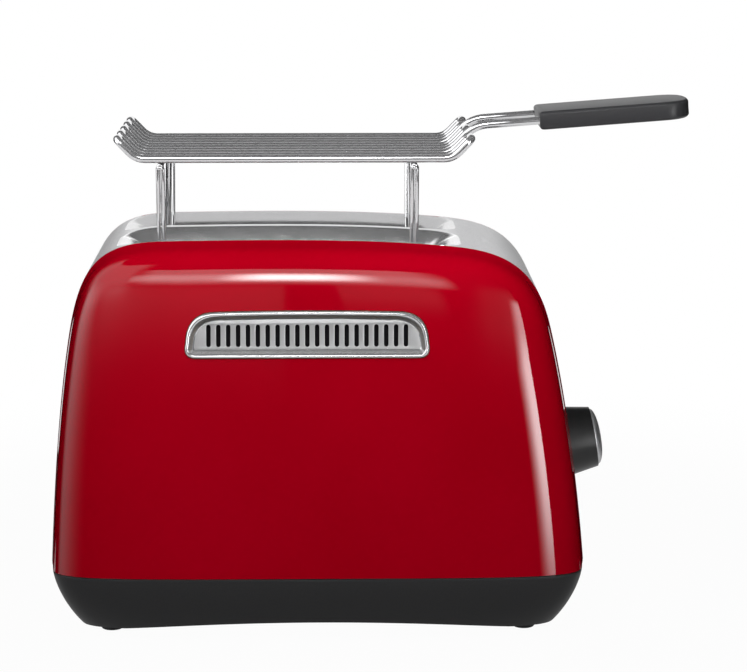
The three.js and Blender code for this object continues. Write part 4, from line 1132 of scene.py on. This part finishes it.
def handle_wires():
    """The two long wires that turn back at the left end and run on into the grip."""
    rise = TIP_RISE / TIP_RUN
    meet_x = (handle_at(0) - RACK_Z + rise * RACK_RIGHT) / (rise - GRIP_SLOPE)
    end_x = GRIP_LEFT + GRIP_WIRE_DEPTH
    for node, first, second in (("rack_handle_wire_front", -3, -2), ("rack_handle_wire_rear", 2, 1)):
        outer, inner = wire_at(first), wire_at(second)
        tip = (RACK_RIGHT + TIP_RUN, outer, RACK_Z + TIP_RISE)
        left = turned_end(RACK_LEFT, -1, outer, inner)
        meet, end = (meet_x, inner, handle_at(meet_x)), (end_x, inner, handle_at(end_x))
        route = [
            tip, *bent(tip, (RACK_RIGHT, outer, RACK_Z), (0, outer, RACK_Z)),
            *bent((0, outer, RACK_Z), (RACK_LEFT, outer, RACK_Z), left[0]), *left,
            *bent(left[-1], (RACK_LEFT, inner, RACK_Z), (0, inner, RACK_Z)),
            *bent((0, inner, RACK_Z), (RACK_RIGHT, inner, RACK_Z), meet),
            *bent((RACK_RIGHT, inner, RACK_Z), meet, end, 7.0), end,
        ]
        make(node + "_rod", [[*tube(route, WIRE, 20), CHROME]], [node], crease=60)


def rack_supports():
    """Under each end of the rack: a cross bar, two hairpin legs and a W brace."""
    bar_z = RACK_Z - WIRE - SEAM - CROSS_BAR
    half_pin = LEG_SPREAD / 2
    bead_radius, bead_out, bead_down = 1.9, 0.3, 0.9
    for node, x in zip(("rack_support_left", "rack_support_right"), LEG_X):
        crest = float(top_at(x))
        bar_end = LEG_Y + CROSS_BAR
        parts = [[*rod((x, -bar_end, bar_z), (x, bar_end, bar_z), CROSS_BAR, 18), CHROME]]
        down = [(LEG_Y, crest + 5.0), (42.0, crest - 1.4), (LEG_FOOT_Y, crest - 7), (LEG_FOOT_Y, crest - 14)]
        for side in (-1, 1):
            over = [(x - half_pin * math.cos(a), side * LEG_Y, bar_z - half_pin + half_pin * math.sin(a))
                    for a in np.linspace(0, math.pi, 12)]
            left = [(x - half_pin, side * y, z) for y, z in down]
            right = [(x + half_pin, side * y, z) for y, z in down]
            route = [left[3], *eased(left[::-1], 2.2)[1:-1], *over, *eased(right, 2.2)[1:-1], right[3]]
            parts.append([*tube(route, LEG_WIRE, 16), CHROME])
            bead = weld_bead((x, side * (LEG_Y + bead_out), bar_z - bead_down), bead_radius)
            parts.append([*bead, CHROME])
        foot_z = crest - 9
        brace = [(x, -BRACE_TOP_Y, bar_z), (x, -BRACE_FOOT_Y, foot_z), (x, 0, bar_z),
                 (x, BRACE_FOOT_Y, foot_z), (x, BRACE_TOP_Y, bar_z)]
        parts.append([*tube(eased(brace, 3.0, 6), LEG_WIRE, 16), CHROME])
        make(node + "_wires", parts, [node], crease=60)


def weld_bead(middle, radius):
    """A small lumpy bead where wires are resistance welded."""
    ring, rings = 14, 9
    flat_share, lump_share = 0.8, 0.1
    rows = []
    for i, tilt in enumerate(np.linspace(0, math.pi, rings)):
        for angle in np.linspace(0, 2 * math.pi, ring, endpoint=False):
            size = radius * (1 + lump_share * math.sin(3 * angle + 2 * i) * math.sin(tilt))
            rows.append((size * math.sin(tilt) * math.cos(angle), size * math.cos(tilt) * flat_share,
                         size * math.sin(tilt) * math.sin(angle) * flat_share))
    return np.array(rows) + middle, rings_of(rings, ring)


def grip():
    """The flat grip: a moulded tongue with rounded edges, and a fine parting line round it."""
    length = GRIP_RIGHT - GRIP_LEFT
    nose, nose_round, edge, parting = 13.0, 2.0, 2.0, 0.12

    def contour(inset):
        right, y = length - inset, GRIP_HALF - inset
        arc = bezier([(right - nose, -y), (right - nose_round, -y), (right, -y / 2), (right, 0)],
                     np.linspace(0, 1, 22))
        corner = eased([(6.0 + inset, -y), (inset, -y), (inset, 0)], 1.6, 5)
        lower = np.vstack([corner[::-1][1:], evenly([corner[0], arc[0]], 14)[1:-1], arc])
        return np.vstack([lower, (lower[::-1] * (1, -1))[1:-1]])

    rows = []
    for angle in np.linspace(-math.pi / 2, math.pi / 2, 15):
        inset, level = edge * (1 - math.cos(angle)), math.sin(angle) * edge
        if abs(angle) < 1e-6:
            inset += parting
        else:
            level += math.copysign(GRIP_THICK / 2 - edge, angle)
        rows.append(np.insert(contour(inset), 2, level, axis=1))
    count = len(rows[0])
    slope = math.atan(GRIP_SLOPE)
    x, y, z = np.vstack(rows).T
    points = np.column_stack([GRIP_LEFT + x * math.cos(slope) - z * math.sin(slope), y,
                              GRIP_Z + x * math.sin(slope) + z * math.cos(slope)])
    make("rack_grip_moulding", [[points, filled_rings(len(rows), count), GRIP]], ["rack_grip"], crease=40)


# Inside

def guides():
    """Bread guides: upright wires welded between two long ones."""
    uprights = 8
    for node in starting("guide_"):
        if node == "guide_rod":
            continue
        low, high = body_box(node)
        y, radius = (low[1] + high[1]) / 2, (high[1] - low[1]) / 2
        bottom, top = low[2] + radius, high[2] - radius
        routes = [((low[0], y, z), (high[0], y, z), radius) for z in (bottom, top)]
        for x in np.linspace(low[0], high[0], uprights + 2)[1:-1]:
            routes.append(((x, y, bottom), (x, y, top), radius * 0.9))
        make(node + "_wires", [[*rod(*route), CHROME] for route in routes], [node], crease=60)


def heater_ribbons():
    """Flat ribbon wound round each mica board: a strip on either side for each of its turns."""
    margin_x, margin_z, turns = 6.0, 10.0, 15
    wide, thick = 1.6, 0.16
    box = [[0, 1, 2, 3], [7, 6, 5, 4], [0, 4, 5, 1], [1, 5, 6, 2], [2, 6, 7, 3], [3, 7, 4, 0]]
    for node in starting("heater_"):
        low, high = body_box(node)
        left, right = low[0] + margin_x, high[0] - margin_x
        parts = []
        for z in np.linspace(low[2] + margin_z, high[2] - margin_z, turns):
            strip = [(left, z), (right, z), (right, z + wide), (left, z + wide)]
            for middle in (low[1] - thick, high[1] + thick):
                points = [(x, y, up) for y in (middle - thick / 2, middle + thick / 2) for x, up in strip]
                parts.append([points, box, RIBBON])
        make(node + "_wound", parts + [board_part(low, high)], [node], crease=30)


def board_part(low, high):
    """A mica board with small notches for the ribbon along its ends, as points, faces, finish."""
    notch, steps = 0.8, 49
    side = [(notch * (i % 2), z) for i, z in enumerate(np.linspace(low[2], high[2], steps))]
    loop = [(low[0] + deep, z) for deep, z in side[::-1]] + [(high[0] - deep, z) for deep, z in side]
    points = np.array([(x, y, z) for y in (low[1], high[1]) for x, z in loop])
    return [points, filled_rings(2, len(loop)), MICA]


def spring():
    """The lift's coil spring, drawn at one length; in the toaster it closes up as the carriage goes down."""
    low, high = body_box("lift_spring")
    x, y = (low[0] + high[0]) / 2, (low[1] + high[1]) / 2
    wire, turns, steps = 0.45, 19, 16
    radius = (high[0] - low[0]) / 2 - wire
    angle = np.linspace(0, 2 * math.pi * turns, turns * steps + 1)
    rise = np.linspace(low[2] + wire, high[2] - wire, len(angle))
    route = np.column_stack([x + radius * np.cos(angle), y + radius * np.sin(angle), rise])
    piece = make("lift_spring_coil", [[*tube(route, wire, 8), ZINC]], ["lift_spring"], crease=60)
    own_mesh(piece)


def dress_nodes():
    """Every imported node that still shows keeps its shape, and gets its finish and softer edges."""
    widths = {"lever_channel": 0.5, "lift_lever": 0.8, "crumb_tray": 0.3, "carriage": 0.3,
              "button_carrier": 0.3, "timer_control": 0.8, "hold_magnet": 0.8, "rail_front": 0.3,
              "rail_rear": 0.3}
    usual_width = 0.2
    for node, piece in frame["nodes"].items():
        if piece.hide_render:
            continue
        piece.data.materials.clear()
        piece.data.materials.append(NODE_FINISHES[SLOT_OF[node]])
        soften(piece, widths.get(node, usual_width))
        piece.data.shade_smooth()


shell("front_shell_skin", "front_shell", -1)
shell("rear_shell_skin", "rear_shell", 1)
vent("front_vent_grille", "front_vent", -1)
vent("rear_vent_grille", "rear_vent", 1)
top_band()
base_skin()
tray_front()
feet()
screws()
inlet()
dial()
buttons()
rack_pairs()
handle_wires()
rack_supports()
grip()
guides()
heater_ribbons()
spring()
dress_nodes()


# Stage, light and camera

# The two ways over a softbox's card
ACROSS, UP = 0, 1


def emitter(name, build):
    """A glowing gauze whose light comes from what build links to its strength, and that lets what
    hangs behind it show through."""
    material = bpy.data.materials.new(name)
    tree = blank(material)
    glow = add(tree, "ShaderNodeEmission", Color=(1, 1, 1, 1), Strength=1.0)
    clear = add(tree, "ShaderNodeBsdfTransparent", Color=(1, 1, 1, 1))
    both = add(tree, "ShaderNodeAddShader", {0: glow.outputs[0], 1: clear.outputs[0]})
    add(tree, "ShaderNodeOutputMaterial", {0: both.outputs[0]})
    build(tree, glow)
    return material


def reckon(tree, operation, *values):
    """Values joined one after another by an operation; the later ones may be plain numbers."""
    total = values[0]
    for value in values[1:]:
        node = add(tree, "ShaderNodeMath", {0: total}, operation=operation)
        if isinstance(value, (int, float)):
            node.inputs[1].default_value = value
        else:
            tree.links.new(value, node.inputs[1])
        total = node.outputs[0]
    return total


def seen_by(tree, *rays):
    """1 for these kinds of ray, and 0 for the others."""
    path = add(tree, "ShaderNodeLightPath")
    return reckon(tree, "MAXIMUM", *(path.outputs[ray] for ray in rays))


def floor():
    """A plain pale floor that runs out into the white background and keeps the shadow."""
    side, near, far = 3.0, -2.5, 3.5
    mesh = bpy.data.meshes.new("floor")
    mesh.from_pydata([(-side, near, 0), (side, near, 0), (side, far, 0), (-side, far, 0)], [], [(0, 1, 2, 3)])
    piece = placed("floor", mesh)
    material = bpy.data.materials.new("pale_floor")
    tree = blank(material)
    paint = add(tree, "ShaderNodeBsdfDiffuse", Color=colour("949494"))
    glow = add(tree, "ShaderNodeEmission", Color=(1, 1, 1, 1), Strength=1.0)
    place = add(tree, "ShaderNodeNewGeometry")
    away = add(tree, "ShaderNodeVectorMath", {0: place.outputs["Position"]}, operation="LENGTH")
    clear = smooth(tree, away.outputs["Value"], 0.25, 0.6, 0.97, 1.0)
    share = reckon(tree, "MULTIPLY", seen_by(tree, "Is Camera Ray", "Is Glossy Ray"), clear)
    mix = add(tree, "ShaderNodeMixShader", {0: share, 1: paint.outputs[0], 2: glow.outputs[0]})
    add(tree, "ShaderNodeOutputMaterial", {0: mix.outputs[0]})
    mesh.materials.append(material)
    piece.visible_glossy = False


def world():
    """White behind everything that the camera, a mirror or glass sees, and a soft grey light."""
    sky = bpy.data.worlds.new("studio")
    bpy.context.scene.world = sky
    tree = blank(sky)
    seen = seen_by(tree, "Is Camera Ray", "Is Glossy Ray", "Is Transmission Ray")
    light = add(tree, "ShaderNodeBackground", Color=(1, 1, 1, 1), Strength=0.05)
    white = add(tree, "ShaderNodeBackground", Color=(1, 1, 1, 1), Strength=1.0)
    mix = add(tree, "ShaderNodeMixShader", {0: seen, 1: light.outputs[0], 2: white.outputs[0]})
    add(tree, "ShaderNodeOutputWorld", {0: mix.outputs[0]})


def lamp(name, place, size, power):
    """A rectangular soft light for matte surfaces, placed in millimetres and aimed at the middle of
    the body."""
    light = bpy.data.lights.new(name, "AREA")
    light.shape = "RECTANGLE"
    light.size, light.size_y = size[0] * MM, size[1] * MM
    light.energy = power
    piece = placed(name, light)
    piece.location = Vector(place) * MM
    piece.rotation_euler = (Vector(BODY_MIDDLE) * MM - piece.location).to_track_quat("-Z", "Y").to_euler()
    piece.visible_glossy = False


def for_gloss_only(name, points, faces, material):
    """A studio card, in millimetres, that only gloss and metal mirror."""
    mesh = bpy.data.meshes.new(name)
    mesh.from_pydata([tuple(v * MM for v in point) for point in points], [], faces)
    mesh.materials.append(material)
    card = placed(name, mesh)
    card.visible_camera = False
    card.visible_diffuse = False
    card.visible_shadow = False
    card.visible_transmission = False
    return mesh


def dark_room():
    """Black cloth all round, with a window in the wall behind to the white background."""
    side, front, rear, low, high = 2600.0, -2600.0, 4500.0, -900.0, 2400.0
    window, lintel = 1200.0, 1800.0
    points = [(-side, front, low), (side, front, low), (side, rear, low), (-side, rear, low),
              (-side, front, high), (side, front, high), (side, rear, high), (-side, rear, high),
              (-window, rear, low), (window, rear, low), (window, rear, lintel), (-window, rear, lintel)]
    faces = [[0, 1, 2, 3], [0, 1, 5, 4], [1, 2, 6, 5], [0, 3, 7, 4], [4, 5, 6, 7],
             [3, 8, 11, 7], [9, 2, 6, 10], [11, 10, 6, 7]]
    cloth = finish("black_studio_cloth", "000000", roughness=1.0, Specular_IOR_Level=0.0)[0]
    for_gloss_only("dark_room", points, faces, cloth)


def plain_card(name, left, right, near, far, height, strength):
    """A level card, evenly lit."""
    def even(tree, glow):
        glow.inputs["Strength"].default_value = strength

    points = [(left, near, height), (right, near, height), (right, far, height), (left, far, height)]
    for_gloss_only(name, points, [[0, 1, 2, 3]], emitter(name + "_light", even))


def softbox(name, azimuths, elevations, glows, distance=2200.0, lean=0.0, steps=24):
    """A curved card round the toaster, seen from it between two azimuths (0 in front, positive to
    the right) and two elevations; its upper part leans sideways by up to lean degrees. Its glows add
    up. Each has a strength and its fades: ACROSS or UP, two shares of the card's width or height,
    and how much of the light there is at each of them."""
    points, faces = [], []
    x, y, z = BODY_MIDDLE
    for row, elevation in enumerate(np.linspace(*elevations, steps + 1)):
        for column, azimuth in enumerate(np.linspace(*azimuths, steps + 1)):
            e = math.radians(elevation)
            a = math.radians(azimuth + lean * (max(elevation, 0) / elevations[1]) ** 2)
            points.append((x + distance * math.sin(a) * math.cos(e), y - distance * math.cos(a) * math.cos(e),
                           z + distance * math.sin(e)))
            if row and column:
                here = row * (steps + 1) + column
                faces.append([here - steps - 2, here - steps - 1, here, here - 1])

    def build(tree, glow):
        grid = add(tree, "ShaderNodeUVMap", uv_map="card")
        place = add(tree, "ShaderNodeSeparateXYZ", {0: grid.outputs[0]})
        lights = []
        for strength, fades in glows:
            shares = [smooth(tree, place.outputs[axis], *fade) for axis, *fade in fades]
            lights.append(reckon(tree, "MULTIPLY", *shares, strength))
        tree.links.new(reckon(tree, "ADD", *lights), glow.inputs["Strength"])

    mesh = for_gloss_only(name, points, faces, emitter(name + "_light", build))
    layer = mesh.uv_layers.new(name="card")
    for loop in mesh.loops:
        row, column = divmod(loop.vertex_index, steps + 1)
        layer.data[loop.index].uv = (column / steps, row / steps)


def smooth(tree, source, low, high, to_low, to_high):
    """Takes one range of values to another, easing in and out."""
    return add(tree, "ShaderNodeMapRange", {"Value": source}, interpolation_type="SMOOTHSTEP", From_Min=low,
               From_Max=high, To_Min=to_low, To_Max=to_high).outputs[0]


def softboxes():
    """The cards that the enamel's gloss shows: a narrow one to the right, a broad one to the left,
    one overhead in front, and weak ones that only haze the gloss."""
    softbox("right_strip", (23, 41.7), (-16, 27), [
        (16.5, [(ACROSS, 0.22, 0.78, 0, 1), (ACROSS, 0.97, 1, 1, 0), (UP, 0, 0.28, 0, 1),
                (UP, 0.28, 0.6, 1, 0.45), (UP, 0.84, 1, 1, 0)]),
    ], lean=10)
    softbox("left_strip", (-112, -36), (-15, 36), [
        (3.0, [(ACROSS, 0, 0.3, 0, 1), (ACROSS, 0.4, 1, 1, 0), (UP, 0, 0.6, 0.35, 1), (UP, 0.6, 1, 1, 0)]),
    ])
    softbox("left_wing", (-140, -16), (10, 64), [
        (1.6, [(ACROSS, 0, 0.3, 0, 1), (ACROSS, 0.9, 1, 1, 0), (UP, 0, 0.45, 0, 1), (UP, 0.94, 1, 1, 0)]),
    ], 2250.0)
    card_edges = [(ACROSS, 0.87, 1, 1, 0), (UP, 0.98, 1, 1, 0)]
    softbox("front_streak", (-26, 12), (24, 47.5), [
        (30.0, [(UP, 0.13, 0.36, 0, 1), (UP, 0.42, 0.72, 1, 0), (ACROSS, 0.555, 0.63, 0.12, 1),
                (ACROSS, 0, 0.16, 0, 1), (ACROSS, 0.685, 0.81, 1, 0.05)] + card_edges),
        (2.5, [(UP, 0, 0.2, 0, 1), (ACROSS, 0.1, 0.4, 0, 1)] + card_edges),
    ])
    softbox("left_haze", (-50, -1.2), (-8, 28), [
        (0.7, [(ACROSS, 0, 0.3, 0, 1), (ACROSS, 0.4, 0.9, 1, 0.5), (UP, 0, 0.7, 0, 1), (UP, 0.8, 1, 1, 0)]),
    ], 2300.0)
    softbox("right_haze", (1.2, 8), (6, 28), [
        (0.35, [(ACROSS, 0.7, 1, 1, 0), (UP, 0, 0.6, 0, 1), (UP, 0.8, 1, 1, 0)]),
    ], 2250.0)
    softbox("far_haze", (8, 42), (-6, 40), [
        (0.25, [(ACROSS, 0, 0.3, 0, 1), (ACROSS, 0.3, 0.8, 1, 2), (UP, 0, 0.35, 0, 1), (UP, 0.6, 1, 1, 0)]),
    ], 2250.0, lean=10)


def metal_cards():
    """Two small helps for the metal: the bright table, and a white card close above the slots."""
    half, table_z = 1500.0, -400.0
    plain_card("white_table", -half, half, -half, half, table_z, 0.8)
    plain_card("slot_card", MIDDLE_X - 120, MIDDLE_X + 80, 52.0, 140.0, 228.0, 0.7)


def camera():
    """The photograph's view: 10 degrees down from in front, with a long lens."""
    lens = bpy.data.cameras.new("camera")
    lens.sensor_width = 36.0
    lens.sensor_fit = "HORIZONTAL"
    focal_pixels, frame_pixels = 2738.7, 747
    lens.lens = lens.sensor_width * focal_pixels / frame_pixels
    lens.clip_end = 50.0
    seat = placed("camera", lens)
    seat.location = Vector((MIDDLE_X + 3.6, -1396.8, 389.9)) * MM
    pitch, yaw = 0.1775, 0.0182
    ahead = Vector((math.sin(yaw) * math.cos(pitch), math.cos(yaw) * math.cos(pitch), -math.sin(pitch)))
    seat.rotation_euler = ahead.to_track_quat("-Z", "Y").to_euler()
    bpy.context.scene.camera = seat


floor()
world()
camera()
dark_room()
softboxes()
metal_cards()
lamp("top_softbox", (MIDDLE_X, -300, 1500), (1600, 900), 7)
lamp("near_softbox", (MIDDLE_X, -400, 450), (750, 250), 2.6)
lamp("rear_softbox", (MIDDLE_X, 1500, 1100), (1800, 900), 8)

settings = bpy.context.scene.view_settings
settings.view_transform = "Standard"
